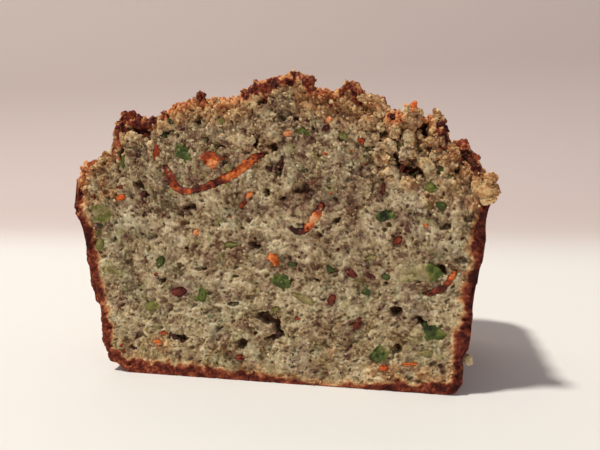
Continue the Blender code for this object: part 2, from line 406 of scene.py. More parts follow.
@dataclass(frozen=True)
class LoafForm:
    """The cake's body before its fine relief, with the sizes that the solid has.

    A place has a share across from -1 to 1, a share along from 0 at the cut to 1 at the
    heel, and a share up from 0 to 1 of the top's height over that place.
    """

    half_width: float
    length: float
    bottom_length: float = 48.0
    shoulder: float = 50.0
    rise: float = 28.0
    feet: Span = (50.2, 48.6)
    lips: Span = (0.9, 1.9)
    lip_height: float = 3.0
    foot_radius: float = 3.5
    heel_radius: float = 12.0
    dome_power: float = 2.6
    dome_rounding: float = 0.625
    heel_power: float = 2.4
    lump: Noise = Noise(3.6, 10.5, 11, 1)
    knob: Noise = Noise(2.2, 5.8, 12, 1)
    lump_onset: float = 4.0
    edge_fade: float = 9.0
    bite: Span = (-47.7, 2.6)
    bite_normal: Span = (-0.6, -0.8)
    bite_rough: Noise = Noise(0.9, 2.2, 97, 1)
    outline: Knots = (
        (-57.0, 50.0), (-56.9, 55.3), (-54.8, 59.0), (-52.6, 61.0), (-50.3, 61.9), (-47.7, 62.9),
        (-45.7, 64.4), (-44.9, 67.5), (-44.6, 70.2), (-42.6, 72.6), (-40.6, 74.8), (-39.0, 74.2),
        (-36.9, 73.2), (-33.5, 72.9), (-31.2, 73.4), (-28.0, 75.0), (-23.8, 76.4), (-19.9, 77.6),
        (-18.2, 79.0), (-16.4, 77.0), (-12.0, 76.8), (-8.8, 77.3), (-5.8, 78.7), (-2.8, 81.0),
        (2.2, 81.8), (6.9, 82.9), (9.5, 82.6), (12.0, 80.9), (12.6, 78.8), (16.9, 77.8), (19.3, 78.6),
        (20.8, 80.1), (23.9, 79.7), (25.2, 76.6), (28.9, 74.4), (31.6, 71.2), (32.4, 70.6),
        (33.8, 71.7), (36.2, 73.5), (37.8, 73.6), (38.6, 71.4), (40.2, 70.4), (41.6, 71.2),
        (43.8, 70.6), (45.3, 67.0), (45.9, 64.2), (47.7, 64.3), (50.3, 63.0), (52.2, 60.8),
        (53.6, 57.6), (55.4, 55.9), (56.7, 53.6), (57.0, 50.0),
    )

    def near_cut(self, along: Array) -> Array:
        """1 at the cut, fading behind it as a bell curve."""
        return np.exp(-((along * self.length / self.edge_fade) ** 2))

    def top_height(self, across: Array, along: Array) -> Array:
        """Height of the top: a dome that falls to the heel, the outline and lumps.

        The dome is a superellipse across and along. The outline's own detail fades behind the
        cut, where the lumps take over.

        Args:
            across: Shares across.
            along: Shares along.

        Returns:
            The heights.
        """
        flat = self.plan(across, along)
        near_cut = self.near_cut(along)
        inside = np.clip(1.0 - np.abs(across) ** self.dome_power, 0.0, 1.0)
        dome = inside ** self.dome_rounding
        fall = np.clip(1.0 - along ** self.heel_power, 0.0, 1.0) ** (1.0 / self.heel_power)
        cut = read_knots(self.outline, across * self.half_width)
        detail = cut - self.shoulder - self.rise * dome
        lumps = self.lump.at(flat) + self.knob.at(flat)
        rim = np.clip(self.lump_onset * dome * fall, 0.0, 1.0)
        height = self.shoulder + self.rise * dome * fall
        return height + detail * near_cut + lumps * rim * (1.0 - near_cut)

    def plan(self, across: Array, along: Array) -> Array:
        """Rows of X, distance from the cut and zero, with the heel's upright edges rounded."""
        pull = fillet((1.0 - along) * self.length, self.heel_radius)
        x = across * (self.half_width - pull)
        return np.column_stack((x, along * self.length, np.zeros_like(x)))

    def half_at(self, z: Array, left: Array) -> Array:
        """Distance from the middle to a side wall, which leans out to the lip.

        Args:
            z: Heights.
            left: True for the left wall.

        Returns:
            The distances.
        """
        foot = np.where(left, self.feet[0], self.feet[1])
        lip = np.where(left, self.lips[0], self.lips[1])
        wall = np.minimum(z, self.shoulder) / self.shoulder
        below = np.minimum(z - self.shoulder, 0.0) / self.lip_height
        lean = self.half_width - foot - lip
        return foot + lean * wall + lip * np.exp(-(below ** 2)) - fillet(z, self.foot_radius)

    def place(self, across: Array, along: Array, up: Array) -> Array:
        """Carries shares onto the loaf.

        Args:
            across: Shares across.
            along: Shares along.
            up: Shares up.

        Returns:
            Places, with the cut at minus half the length.
        """
        z = up * self.top_height(across, along)
        wall = np.minimum(z, self.shoulder) / self.shoulder
        pull = fillet((1.0 - along) * self.length, self.heel_radius)
        x, z = self.bitten(across * (self.half_at(z, across < 0.0) - pull), z, along)
        depth = self.bottom_length + (self.length - self.bottom_length) * wall
        y = along * (depth - fillet(z, self.foot_radius)) - self.length / 2.0
        return np.column_stack((x, y, z))

    def past_bite(self, x: Array, z: Array) -> Array:
        """How far places lie past the slanting line where the lower left corner broke off."""
        over_x, over_z = x - self.bite[0], z - self.bite[1]
        rough = self.bite_rough.at(np.column_stack((x, np.zeros_like(x), z)))
        return over_x * self.bite_normal[0] + over_z * self.bite_normal[1] + rough

    def bitten(self, x: Array, z: Array, along: Array) -> tuple[Array, Array]:
        """Pulls the lower left corner back to its broken line, less behind the cut."""
        pull = np.maximum(self.past_bite(x, z), 0.0) * self.near_cut(along)
        return x - pull * self.bite_normal[0], z - pull * self.bite_normal[1]

    def edge_distance(self, x: Array, z: Array) -> tuple[Array, Array]:
        """How far places on the cut lie inside its outline.

        Args:
            x: Distances from the middle.
            z: Heights.

        Returns:
            The distances to the nearest wall or the bottom, and to the top, below zero above
            it.
        """
        knots = np.array(self.outline)
        to_top = np.full(len(x), np.inf)
        for start, run in zip(knots[:-1], np.diff(knots, axis=0)):
            share = ((x - start[0]) * run[0] + (z - start[1]) * run[1]) / (run @ run)
            share = np.clip(share, 0.0, 1.0)
            away = np.hypot(x - start[0] - share * run[0], z - start[1] - share * run[1])
            to_top = np.minimum(to_top, away)
        above = z > read_knots(self.outline, x)
        to_left = self.half_at(z, np.ones(len(z), bool)) + x
        to_right = self.half_at(z, np.zeros(len(z), bool)) - x
        to_wall = np.minimum.reduce((to_left, to_right, z, -self.past_bite(x, z)))
        return to_wall, np.where(above, -to_top, to_top)


@dataclass(frozen=True)
class Mark:
    """An oval place on the cut: its middle, its size and its turn.

    Its strength is how deep a hollow or a pad is, how far a spot is coloured, or the shade
    of a small bit of vegetable.
    """

    x: float
    z: float
    length: float
    width: float
    turn: float = 0.0
    strength: float = 0.0

    def share(self, x: Array, z: Array) -> Array:
        """One less the square of the oval's own radius: 1 in the middle, 0 from the rim on."""
        along, over = turned(x - self.x, z - self.z, self.turn)
        radius = (along / self.length) ** 2 + (over / self.width) ** 2
        return np.clip(1.0 - 4.0 * radius, 0.0, 1.0)


@dataclass(frozen=True)
class Strip:
    """A strip in the cut: rows of X, Z, width and shade along its middle."""

    knots: Knots
    share_steps: int = 40

    def path(self, count: int) -> Array:
        """Places along a Catmull-Rom curve through the knots, evenly spread over them.

        Args:
            count: How many.

        Returns:
            Rows of X, Z, width and shade.
        """
        knots = np.array(self.knots)
        padded = np.vstack((2 * knots[0] - knots[1], knots, 2 * knots[-1] - knots[-2]))
        place = np.linspace(0.0, len(knots) - 1.0, count)
        index = np.minimum(place.astype(int), len(knots) - 2)
        t = (place - index)[:, None]
        before, start, end, after = (padded[index + step] for step in range(4))
        cubic = 3.0 * start - before - 3.0 * end + after
        square = 2.0 * before - 5.0 * start + 4.0 * end - after
        return 0.5 * (2.0 * start + (end - before) * t + square * t ** 2 + cubic * t ** 3)

    def share(self, x: Array, z: Array) -> Array:
        """1 along the middle line, falling to 0 at the strip's edges.

        Args:
            x: Distances from the middle.
            z: Heights.

        Returns:
            The shares.
        """
        result = np.zeros(len(x))
        for middle_x, middle_z, width, _ in self.path(self.share_steps):
            near = ((x - middle_x) ** 2 + (z - middle_z) ** 2) / (width / 2.0) ** 2
            result = np.maximum(result, 1.0 - near)
        return np.clip(result, 0.0, 1.0)


Places = tuple[Mark | Strip, ...]

HOLLOWS = from_rows(
    Mark,
    (-1.8, 18.2, 6.4, 3.4, -16, 3), (1, 16.6, 2.6, 3.6, 0, 3.2), (2.1, 14.2, 2.4, 2.8, 30, 3.4),
    (-0.2, 12.8, 4, 1.6, 6, 2.2), (-9, 10.6, 4, 2.2, 16, 3.6), (-5.8, 14.6, 4.4, 1.4, -22, 1.4),
    (-27.2, 11.2, 6.2, 2, -12, 2.6), (-10.7, 21.7, 4.2, 1.2, 5, 1.6), (32.7, 21.8, 2.9, 2.9, 0, 2.8),
    (39.4, 19.2, 4.6, 2, -42, 2.8), (33.2, 60.8, 4.6, 1.8, -80, 3.4),
    (35.2, 57.9, 4.6, 2.2, -25, 3.4), (38, 56.4, 3.8, 2.6, -45, 3), (39.8, 66.8, 2.8, 4.6, 5, 2.6),
    (9.5, 52.4, 6.6, 5, 10, 0.8), (-0.5, 52.4, 2, 1.7, -20, 2.2), (3.6, 50.8, 2, 1.7, 0, 2.2),
    (44.4, 32.7, 3.8, 2, -40, 2.8), (48.4, 34.9, 3.6, 2.4, 30, 2.2), (38.7, 29.9, 2.8, 0.8, 18, 1.8),
    (32.6, 11.4, 3.4, 2.6, 35, 1.6), (26.5, 8.7, 1.8, 1.5, 20, 1.6), (7.6, 70.9, 2, 1.6, -30, 2.6),
    (4.7, 71.9, 4.6, 3.4, 15, 1.6), (19.6, 65.6, 3.6, 1.4, -35, 2.2), (12.1, 68.2, 1.4, 1.3, 0, 1.6),
    (2.4, 57.8, 5.6, 2.2, 62, 2), (1.7, 63.8, 3.4, 2.6, 0, 2.2), (31.4, 56, 1.7, 1.5, 0, 1.7),
    (-42.6, 63.1, 2.4, 3.4, -20, 1.8), (-38.4, 64.4, 3.6, 1, 20, 1.5), (-36.4, 69.2, 8, 2.2, 4, 1.9),
    (-13, 64.6, 4.4, 1.8, -30, 1.5), (-11.6, 61, 2.2, 3.6, 10, 1.8), (-3.3, 65, 7.2, 1.6, 54, 2.4),
    (-22.4, 48.4, 4.2, 1.5, 12, 1.9), (-25.5, 46.5, 2.2, 1.8, 0, 1.7), (-34, 40.4, 2.6, 2.2, 20, 1.8),
    (-20.4, 31.1, 4.4, 1.2, 6, 1.5), (-42.6, 7.2, 3.2, 1.3, -10, 1.6), (-10, 29.5, 1.5, 1.3, 0, 1.4),
    (-4.5, 38.2, 3.6, 1.4, -8, 1.8), (-37.4, 54.6, 4, 2.4, -35, 2), (-36.1, 51.9, 1.8, 2.4, 20, 1.8),
    (-24, 37.2, 1.8, 1.5, 0, 1.4), (-0.2, 76, 4.4, 2.2, 15, 2.6), (51.3, 59.6, 1.9, 3.8, 12, 3.2),
    (45, 43.6, 2, 1.6, 0, 1.5), (13.4, 41.4, 2.6, 1.4, -30, 1.5), (12.6, 29.2, 1.8, 1.3, 0, 1.3),
    (27.2, 14.2, 1.6, 1.4, 0, 1.3), (-31.5, 27.6, 2.2, 1.4, 25, 1.4),
    (-15.2, 14.6, 2.2, 1.3, 20, 1.3), (6.4, 9.6, 2.2, 1.3, -20, 1.3), (17.8, 44.8, 2.4, 1.5, 40, 1.5),
    (-27.4, 68.6, 4.4, 2.2, 20, 1.5), (-18.6, 71.6, 3.4, 1.8, 30, 1.3), (29, 66.4, 2.2, 1.2, 60, 1.8),
    (26.6, 72, 3.4, 1.6, -40, 1.6), (47.2, 57.2, 2.6, 2, 0, 1.8),
)

PADS = from_rows(
    Mark,
    (30.6, 60.6, 5.6, 8.6, 10, 0.9), (26, 66.8, 4.6, 5.6, 20, 0.7), (-2.6, 13.6, 5, 2.6, 20, 0.5),
    (-32.6, 59, 6, 5, 0, 0.6), (8, 46.4, 6, 4.6, 20, 0.6), (-16, 36, 7, 5, 10, 0.5),
    (1.6, 67.4, 6, 4, 0, 0.6), (17, 57.4, 9, 6, 0, 0.6), (-44.6, 15.4, 6, 4.6, 30, 0.5),
    (42.6, 38.6, 6.6, 5, 10, 0.5),
)

CARROT_CURL = Strip((
    (-29.4, 60, 2, 0.2), (-28.2, 57.6, 2.8, 0.36), (-27, 54.9, 2.8, 0.36), (-25.2, 53.2, 2.4, 0.39),
    (-22.9, 52.7, 2.1, 0.33), (-20.2, 53.1, 2, 0.32), (-16.9, 54, 2.3, 0.27), (-14.4, 55, 2.6, 0.33),
    (-11.3, 56.3, 3, 0.64), (-8.3, 57.8, 3, 0.76), (-5.7, 59.5, 2.8, 0.7), (-3.8, 60.9, 2.7, 0.58),
    (-2.2, 61.8, 2.3, 0.26), (-0.6, 62.1, 1.4, 0.12),
))
# Its palest shades, near 12.6, 46 and 11.6, 44.6, are partly the pepper's own orange and partly
# painted highlight.
PEPPER_STRIP = Strip((
    (14.1, 49.5, 1.8, 0.42), (13.4, 47.4, 2.6, 0.55), (12.6, 46, 2.9, 0.9), (11.6, 44.6, 2.7, 0.88),
    (10.8, 43.4, 2.3, 0.74), (9.8, 42.4, 2, 0.5), (8.3, 41.9, 1.9, 0.14), (6.8, 42.2, 2, 0.06),
    (5.3, 43, 1.5, 0.04),
))
CARROT_SHRED = Strip((
    (40, 26.5, 1.6, 0.16), (42, 26.8, 2, 0.22), (43.6, 27.6, 1.9, 0.2), (45, 28.5, 1.8, 0.2),
    (46, 29.7, 1.7, 0.28), (46.7, 31.1, 1.7, 0.66), (47.4, 32.6, 1.5, 0.42),
))

LEFT_CRUST = ((0, 2.9), (8, 2.9), (14, 3.5), (20, 2.8), (32, 2.4), (44, 2), (52, 1.7))
RIGHT_CRUST = ((0, 2.3), (8, 2.4), (18, 2.6), (34, 2.3), (44, 2.5), (50, 2.5))
# Crust thickness along the bottom; from 8 to 17 the thin dark band is painted shadow of the gap under
# the cake.
BOTTOM_CRUST_AND_SHADOW = (
    (-50, 3.9), (-40, 3.8), (-30, 3.5), (-20, 3.1), (-10, 2.6), (0, 2.3), (8, 0.9), (17, 0.8),
    (22, 1.7), (34, 2.4), (44, 2.7), (50, 2.9),
)
YELLOW_CRUST = from_rows(
    Mark,
    (-46, 64, 16, 18), (28, 74, 9, 9), (52, 56, 13, 16),
)
WARM_CRUMB = from_rows(
    Mark,
    (41, 62, 40, 30, -35, 0.42), (-50, 56, 16, 18, 40, 0.42), (-4, 66, 22, 16, 0, 0.26),
    (-46, 6, 14, 8, -20, 0.42), (34, 4.6, 30, 8, 0, 0.55), (-33, 10, 12, 8, 10, 0.4),
)
# Plum-coloured spots on the crumb. Some are painted shade: the wide one at 11, 52.6 over a shallow
# dip, the spots just above the carrot curl, those from x 34 to 48 between the clumps of the torn upper
# right, and the one at 3.6, 59.2 in a small cavity.
PLUM_SPOTS_AND_SHADE = from_rows(
    Mark,
    (11, 52.6, 8.5, 6, 20, 0.75), (-9.6, 61.4, 4, 4.4, 20, 0.8), (-11.8, 64.6, 5, 2.6, -20, 0.8),
    (-3.6, 64.6, 7, 3, 54, 0.9), (2.6, 63.8, 4, 3.2, 0, 0.9), (3.6, 59.2, 5, 2.4, 62, 0.9),
    (-4.6, 55, 4, 2.4, 40, 0.6), (-21.4, 55.8, 3.4, 2.4, 0, 0.9), (-37.6, 54.4, 4.4, 3.6, -30, 0.8),
    (-46.4, 55.6, 5, 3, -50, 0.5), (24.4, 65.6, 2.8, 3.6, 20, 0.8), (15.6, 69.4, 4, 3.6, 0, 0.7),
    (19.4, 74.6, 5, 3, -20, 0.5), (29.8, 53.2, 5.4, 1.8, 82, 1), (34.8, 59.4, 6, 3.6, -30, 0.8),
    (37.4, 66.6, 4.4, 4, 0, 0.5), (41.4, 65, 4.6, 8, 10, 0.8), (47, 57.6, 6, 5, 0, 0.6),
    (-0.4, 74.6, 8, 3.4, 10, 0.8), (-34.6, 68.6, 7, 2.6, 0, 0.6), (-26.4, 24.8, 8, 4.6, 15, 0.5),
    (-33.6, 47.6, 6, 3.6, 30, 0.5), (47.6, 36, 4, 5, 0, 0.6), (-42, 40, 6, 3, 20, 0.4),
    (39.4, 68.4, 6, 6, 30, 0.9), (46.2, 61.6, 6, 6, 0, 0.85), (44.5, 60, 6, 4.6, 0, 0.7),
    (35.6, 67, 6, 3, -20, 0.8), (-7.8, 15.4, 3.6, 2.2, 0, 0.7), (-1.8, 17.6, 6.4, 4.6, -16, 0.55),
    (-33.8, 40.6, 5, 4, 20, 0.6), (-24, 47.4, 7, 3.6, 12, 0.6), (21, 43, 4, 3, 0, 0.4),
    (-4.6, 38, 6, 2.6, -8, 0.6), (11, 76.6, 6, 5, 0, 0.5), (16.5, 73.4, 6, 4, 0, 0.55),
    (-24.6, 71.2, 9, 2.6, 15, 0.6), (-47.4, 59.8, 5, 3, 60, 0.5),
)
TOP_CRUST = (
    (-57, 0, 6), (-51, 0, 5), (-48.5, 0, 4), (-45, 2.6, 4.4), (-42, 3.4, 5), (-37.5, 4.2, 5.6),
    (-33, 4.8, 5.8), (-30.5, 1.6, 6.5), (-28, 0, 7), (-12, 0, 7.5), (-7.5, 0, 7), (-5, 3.1, 7),
    (-1, 4.8, 7), (2, 4.6, 7), (5.5, 3.6, 7), (9, 2.8, 7.5), (12, 2.4, 7.5), (14.5, 0, 8),
    (18, 0.4, 8), (20, 3.4, 8.5), (24, 3.2, 8.5), (26.5, 0.6, 8.5), (41, 0, 9), (43.5, 3.6, 9),
    (45.5, 3.6, 9), (48, 2.2, 9), (50, 3, 8), (53, 1.6, 6), (54, 0, 5), (57, 0, 5),
)

TOP_SET_BACK = (
    (-57, 0), (-47, 0.1), (-40, 0.8), (-20, 0.9), (-12, 0.5), (3, 0.6), (8, 1), (14, 0.7), (26, 0.8),
    (31, 1.5), (35, 1.5), (38, 1.1), (44, 1.3), (46, 2.2), (57, 1.8),
)

LEFT_BULGES = (
    (0, 0.8), (3.5, 0.5), (7, 0.3), (12, 0.2), (18.4, -1.3), (21.3, 0.2), (25.5, 0.8), (30, 0.2),
    (33.1, 1.5), (36.1, -0.2), (39.6, 0.2), (42, -1), (44.8, 1), (47.6, 1.7), (50.5, 0), (53.4, -0.8),
    (56.2, 0.9), (61, 0),
)
RIGHT_BULGES = (
    (0, 0.3), (7, 0.6), (9.5, -0.4), (12.4, 0.5), (15, 1), (17.6, 0.7), (20.1, 0.8), (22.7, 0.2),
    (27.5, 0.2), (30.3, 0.5), (32.8, 0.4), (35.3, 0.9), (40.3, 1), (42.7, 0.4), (45.5, 0.2),
    (48.8, -1.2), (51.5, -0.8), (55, 0),
)

CRUMB_CLUMPS = GrainLayer(4.2, 1.0, 1.4, 0.5, 65)
TORN_CLUMPS = GrainLayer(5.2, 1.4, 2.0, 1.2, 161)
ROUND_GRAINS = GrainLayer(1.25, 0.22, 0.36, 0.08, 71)
DRAWN_GRAINS = GrainLayer(0.8, 0.20, 0.34, 0.08, 171)
FINE_GRAINS = GrainLayer(0.7, 0.08, 0.12, 0.04, 75)
WIDE_PITS = PitLayer(3.1, 0.60, (0.40, 0.95), 1.5, 191)
ROUND_PITS = PitLayer(1.6, 0.80, (0.26, 0.62), 0.85, 193)
SMALL_PITS = PitLayer(0.95, 0.80, (0.20, 0.38), 0.40, 195)
LUMP_CLUMPS = GrainLayer(1.9, 0.45, 0.42, 0.36, 183)
LUMP_GRAINS = GrainLayer(0.9, 0.26, 0.36, 0.14, 181)
CRUST_CRAGS = GrainLayer(3.0, 1.1, 1.5, 0.6, 31)
CRUST_KNOBS = GrainLayer(1.6, 0.8, 0.9, 0.4, 35, 0.10, 0.6)
SKIN_PATCHES = GrainLayer(2.4, 0.32, 0.45, 0.20, 131, 0.12, 0.6)


def warped(points: Array, reach: float, cell: float, seed: int) -> Array:
    """Places moved a little by noise, so that what is worked out from them is less regular."""
    moves = [lattice_noise(points, cell, seed + axis) for axis in range(3)]
    return points + reach * np.column_stack(moves)


@dataclass(frozen=True)
class Skin:
    """The baked skin: crags and knobs on the top, shallow dents and bulges on the walls."""

    warp: Span = (0.9, 2.6)
    top: Span = (47.0, 54.0)
    pimples: Noise = Noise(0.25, 1.2, 45, 2)
    dents: Noise = Noise(0.40, 4.0, 51)
    left_out: float = 0.45
    right_in: float = 0.8
    half_width: float = 50.0
    sole: float = 2.5
    sole_reach: float = 0.3
    sole_calm: float = 0.35
    bulge_rounding: float = 0.9
    bulge_fade: Span = (-12.0, -27.0)
    bulge_from: Span = (42.0, 48.0)
    tint_on_walls: float = 0.3

    def places(self, points: Array) -> Array:
        """Places moved by noise, from which the skin's grains are worked out."""
        return warped(points, *self.warp, 41)

    def relief(self, points: Array) -> Array:
        """Fine relief of the skin.

        The top is set back so that its crags reach the outline. The walls stand further out
        on the left than on the right, and the bottom stays almost flat.

        Args:
            points: Places on the form.

        Returns:
            How far each place moves out along its normal.
        """
        x, z = points[:, 0], points[:, 2]
        moved = self.places(points)
        craggy = CRUST_CRAGS.relief(moved)[0] + CRUST_KNOBS.relief(moved)[0]
        craggy += self.pimples.at(points)
        craggy -= read_knots(TOP_SET_BACK, x)
        wall = self.dents.at(points) + SKIN_PATCHES.relief(moved)[0]
        wall += self.left_out * np.clip(-x / self.half_width, -self.right_in, 1.0)
        top = rise(z, *self.top)
        sole = rise(z, 0.0, self.sole)
        wall = np.where(z < self.sole, np.minimum(wall, self.sole_reach * sole), wall)
        calm = self.sole_calm + (1.0 - self.sole_calm) * sole
        return craggy * top + wall * (1.0 - top) * calm

    def bulges(self, points: Array) -> Array:
        """How far the side walls stand out or in beside the cut, as the outline shows.

        The knots are read by height, and a little below and above it to round them.

        Args:
            points: Places on the form.

        Returns:
            How far each place moves to the right.
        """
        heights = points[:, 2:] + self.bulge_rounding * np.array((-1.0, 0.0, 1.0))
        left, right = (
            read_knots(knots, heights).mean(axis=1) for knots in (LEFT_BULGES, RIGHT_BULGES)
        )
        out = np.where(points[:, 0] < 0.0, -left, right)
        near_cut = rise(points[:, 1], *self.bulge_fade)
        return out * near_cut * rise(np.abs(points[:, 0]), *self.bulge_from)

    def tint(self, points: Array) -> Array:
        """Tint of each knob of the skin, which varies less on the walls than on the top."""
        number = CRUST_KNOBS.relief(self.places(points))[1]
        spread = self.tint_on_walls + (1.0 - self.tint_on_walls) * rise(points[:, 2], *self.top)
        return 0.5 + (number - 0.5) * spread


@dataclass(frozen=True)
class Crumb:
    """The cut crumb: its waves, clumps, grains, pits and hollows, and what colours it.

    Low down the knife drew the crumb out along a slant. Along the top, over the left
    shoulder and most of all at the upper right it broke away in clumps.
    """

    warp: Span = (0.5, 1.7)
    slant: float = 28.0
    draw: float = 2.1
    low: Span = (46.0, 20.0)
    drawn_low: float = 0.9
    drawn_patches: Noise = Noise(0.5, 6.0, 83, 1)
    drawn_start: float = 0.25
    drawn_steepness: float = 3.0
    torn_up: Span = (52.0, 60.0)
    torn_across: Span = (21.0, 27.0)
    near_top: Span = (13.0, 3.0)
    shoulder: float = 0.7
    shoulder_up: Span = (40.0, 54.0)
    shoulder_across: Span = (-28.0, -38.0)
    patch: float = 0.6
    patches: Noise = Noise(1.6, 15.0, 87, 1)
    patch_start: float = 0.2
    long_waves: Noise = Noise(0.35, 12.0, 81, 1)
    short_waves: Noise = Noise(0.24, 5.0, 82)
    clumps: Span = (0.10, 0.8)
    grains: Span = (0.8, 0.7)
    hollow_edge: float = 1.9
    hollow_clumps: float = 0.9
    hollow_grains: float = 2.0
    tint: float = 0.465
    grain_tint: float = 0.42
    fine_tint: float = 0.28
    clump_tint: float = 0.24
    tint_patches: Noise = Noise(0.54, 5.0, 101)
    low_calm: float = 0.55
    low_tint: float = 0.115
    # How much darker the torn upper right is: painted shade among its clumps.
    torn_shade: float = 0.18
    plum_grains: Noise = Noise(0.16, 5.0, 103)
    plum_share: float = 0.11
    plum_edge: float = 0.08
    spot_edge: float = 1.6
    spot_ragged: Noise = Noise(1.4, 1.6, 107)
    sage: float = 0.16
    sage_patches: Noise = Noise(1.0, 7.0, 105)
    sage_grains: float = 0.4
    torn_sage: float = 0.6
    straw_low: float = 0.9
    straw_up: Span = (30.0, 4.0)
    straw_patches: Noise = Noise(0.5, 9.0, 109)
    straw_start: float = 0.15

    def drawn_out(self, points: Array) -> Array:
        """Places squeezed along the slant, so that grains come out drawn along it.

        They are turned by the slant, divided by the draw and turned back.

        Args:
            points: Places.

        Returns:
            The squeezed places.
        """
        along, over = turned(points[:, 0], points[:, 2], self.slant)
        x, z = turned(along / self.draw, over, -self.slant)
        return np.column_stack((x, points[:, 1], z))

    def broken(self, points: Array, to_top: Array) -> tuple[Array, Array]:
        """Where the knife left the crumb smooth, and where it broke away in clumps.

        Args:
            points: Places on the flat cut.
            to_top: Their distances to the top.

        Returns:
            How crumbly the cut is and how far it is torn, both from 0 to 1.
        """
        x, z = points[:, 0], points[:, 2]
        torn = rise(z, *self.torn_up) * rise(x, *self.torn_across)
        left = self.shoulder * rise(z, *self.shoulder_up) * rise(x, *self.shoulder_across)
        patches = self.patch * smooth_step(self.patches.at(points) - self.patch_start)
        return np.maximum.reduce((torn, rise(to_top, *self.near_top), left, patches)), torn

    def build(self, points: Array, to_top: Array) -> tuple[Array, Shares]:
        """Relief of the crumb and the numbers that colour it.

        Args:
            points: Places on the flat cut.
            to_top: Their distances to the top.

        Returns:
            How far each place stands out of the cut; and by name its tint, and its shares of
            plum, sage, straw and pit.
        """
        moved = warped(points, *self.warp, 61)
        squeezed = self.drawn_out(moved)
        low = rise(points[:, 2], *self.low)
        drawn = self.drawn_low * low + self.drawn_patches.at(points) - self.drawn_start
        drawn = smooth_step(self.drawn_steepness * drawn)
        crumbly, torn = self.broken(points, to_top)
        clumps, clump_number, _ = CRUMB_CLUMPS.relief(moved)
        rounds, round_number, _ = ROUND_GRAINS.relief(moved)
        strokes, stroke_number, _ = DRAWN_GRAINS.relief(squeezed)
        fine, fine_number, _ = FINE_GRAINS.relief(points)
        relief = self.long_waves.at(points) + self.short_waves.at(points)
        relief += clumps * (self.clumps[0] + self.clumps[1] * crumbly)
        relief += TORN_CLUMPS.relief(moved)[0] * torn
        coarse = self.grains[0] + self.grains[1] * crumbly
        relief += (rounds * (1.0 - drawn) + strokes * drawn) * coarse + fine
        depth, pit = self.pits(moved, squeezed, drawn)
        relief -= depth
        for pad in PADS:
            relief += pad.strength * np.sqrt(pad.share(points[:, 0], points[:, 2]))
        wobble = warped(warped(points, 0.6, 2.0, 85), 0.45, 0.9, 86)
        for hollow in HOLLOWS:
            share = smooth_step(self.hollow_edge * hollow.share(wobble[:, 0], wobble[:, 2]))
            rough = self.hollow_clumps * clumps + self.hollow_grains * rounds
            relief -= share * (hollow.strength - rough)
        grain_number = np.where(drawn > 0.5, stroke_number, round_number)
        numbers = (clump_number, grain_number, fine_number)
        return relief, {"pit": pit, **self.colours(points, low, torn, numbers)}

    @staticmethod
    def pits(moved: Array, squeezed: Array, drawn: Array) -> tuple[Array, Array]:
        """Gas pits: round ones, and drawn-out ones where the knife drew the crumb.

        Args:
            moved: Places for the round pits.
            squeezed: Places for the drawn ones.
            drawn: How far the crumb is drawn, from 0 to 1.

        Returns:
            Their depths, and how far each place is in a pit.
        """
        depth, pit = np.zeros((2, len(drawn)))
        for layer, drawn_share in ((WIDE_PITS, 0.5), (ROUND_PITS, 0.9), (SMALL_PITS, 1.0)):
            round_depth, round_inside = layer.sink(moved)
            drawn_depth, drawn_inside = layer.sink(squeezed)
            depth += round_depth * (1.0 - drawn) + drawn_depth * drawn * drawn_share
            pit = np.maximum(pit, round_inside * (1.0 - drawn) + drawn_inside * drawn)
        return depth, pit

    def colours(self, points: Array, low: Array, torn: Array, numbers: tuple[Array, ...]) -> Shares:
        """The numbers that colour the crumb.

        Args:
            points: Places on the flat cut.
            low: 1 low down and 0 high up.
            torn: How far the cut is torn.
            numbers: Random numbers of the clumps, the grains and the fine grains.

        Returns:
            The tint, and the shares of plum, sage and straw; the plum is partly painted shade.
        """
        x, z = points[:, 0], points[:, 2]
        clump, grain, fine = numbers
        tint = self.tint + self.grain_tint * (grain - 0.5) + self.fine_tint * (fine - 0.5)
        patches = self.clump_tint * (clump - 0.5) + self.tint_patches.at(points)
        tint += (1.0 - self.low_calm * low) * patches
        # Lighter low down; darker over the torn upper right, as painted shade among its clumps.
        tint += self.low_tint * low - self.torn_shade * torn
        plum = grain * 37.0 % 1.0 - (1.0 - self.plum_share) + self.plum_grains.at(points)
        plum = smooth_step(plum / self.plum_edge)
        ragged = self.spot_edge * (1.0 + self.spot_ragged.at(points))
        # The spots, partly plum colour and partly painted shade, and darker crumb round the pepper
        # bits.
        for spot in (*PLUM_SPOTS_AND_SHADE, *map(dark_halo, BITS[Kind.PEPPER])):
            plum = np.maximum(plum, spot.strength * smooth_step(ragged * spot.share(x, z)))
        sage = self.sage + self.sage_patches.at(points)
        sage += self.sage_grains * (grain * 71.0 % 1.0 - 0.5)
        straw = self.straw_low * rise(z, *self.straw_up) + self.straw_patches.at(points)
        return {
            "tint": np.clip(tint, 0.0, 1.0), "plum": plum,
            "sage": smooth_step(sage) * (1.0 - self.torn_sage * torn),
            "straw": smooth_step(straw - self.straw_start),
        }


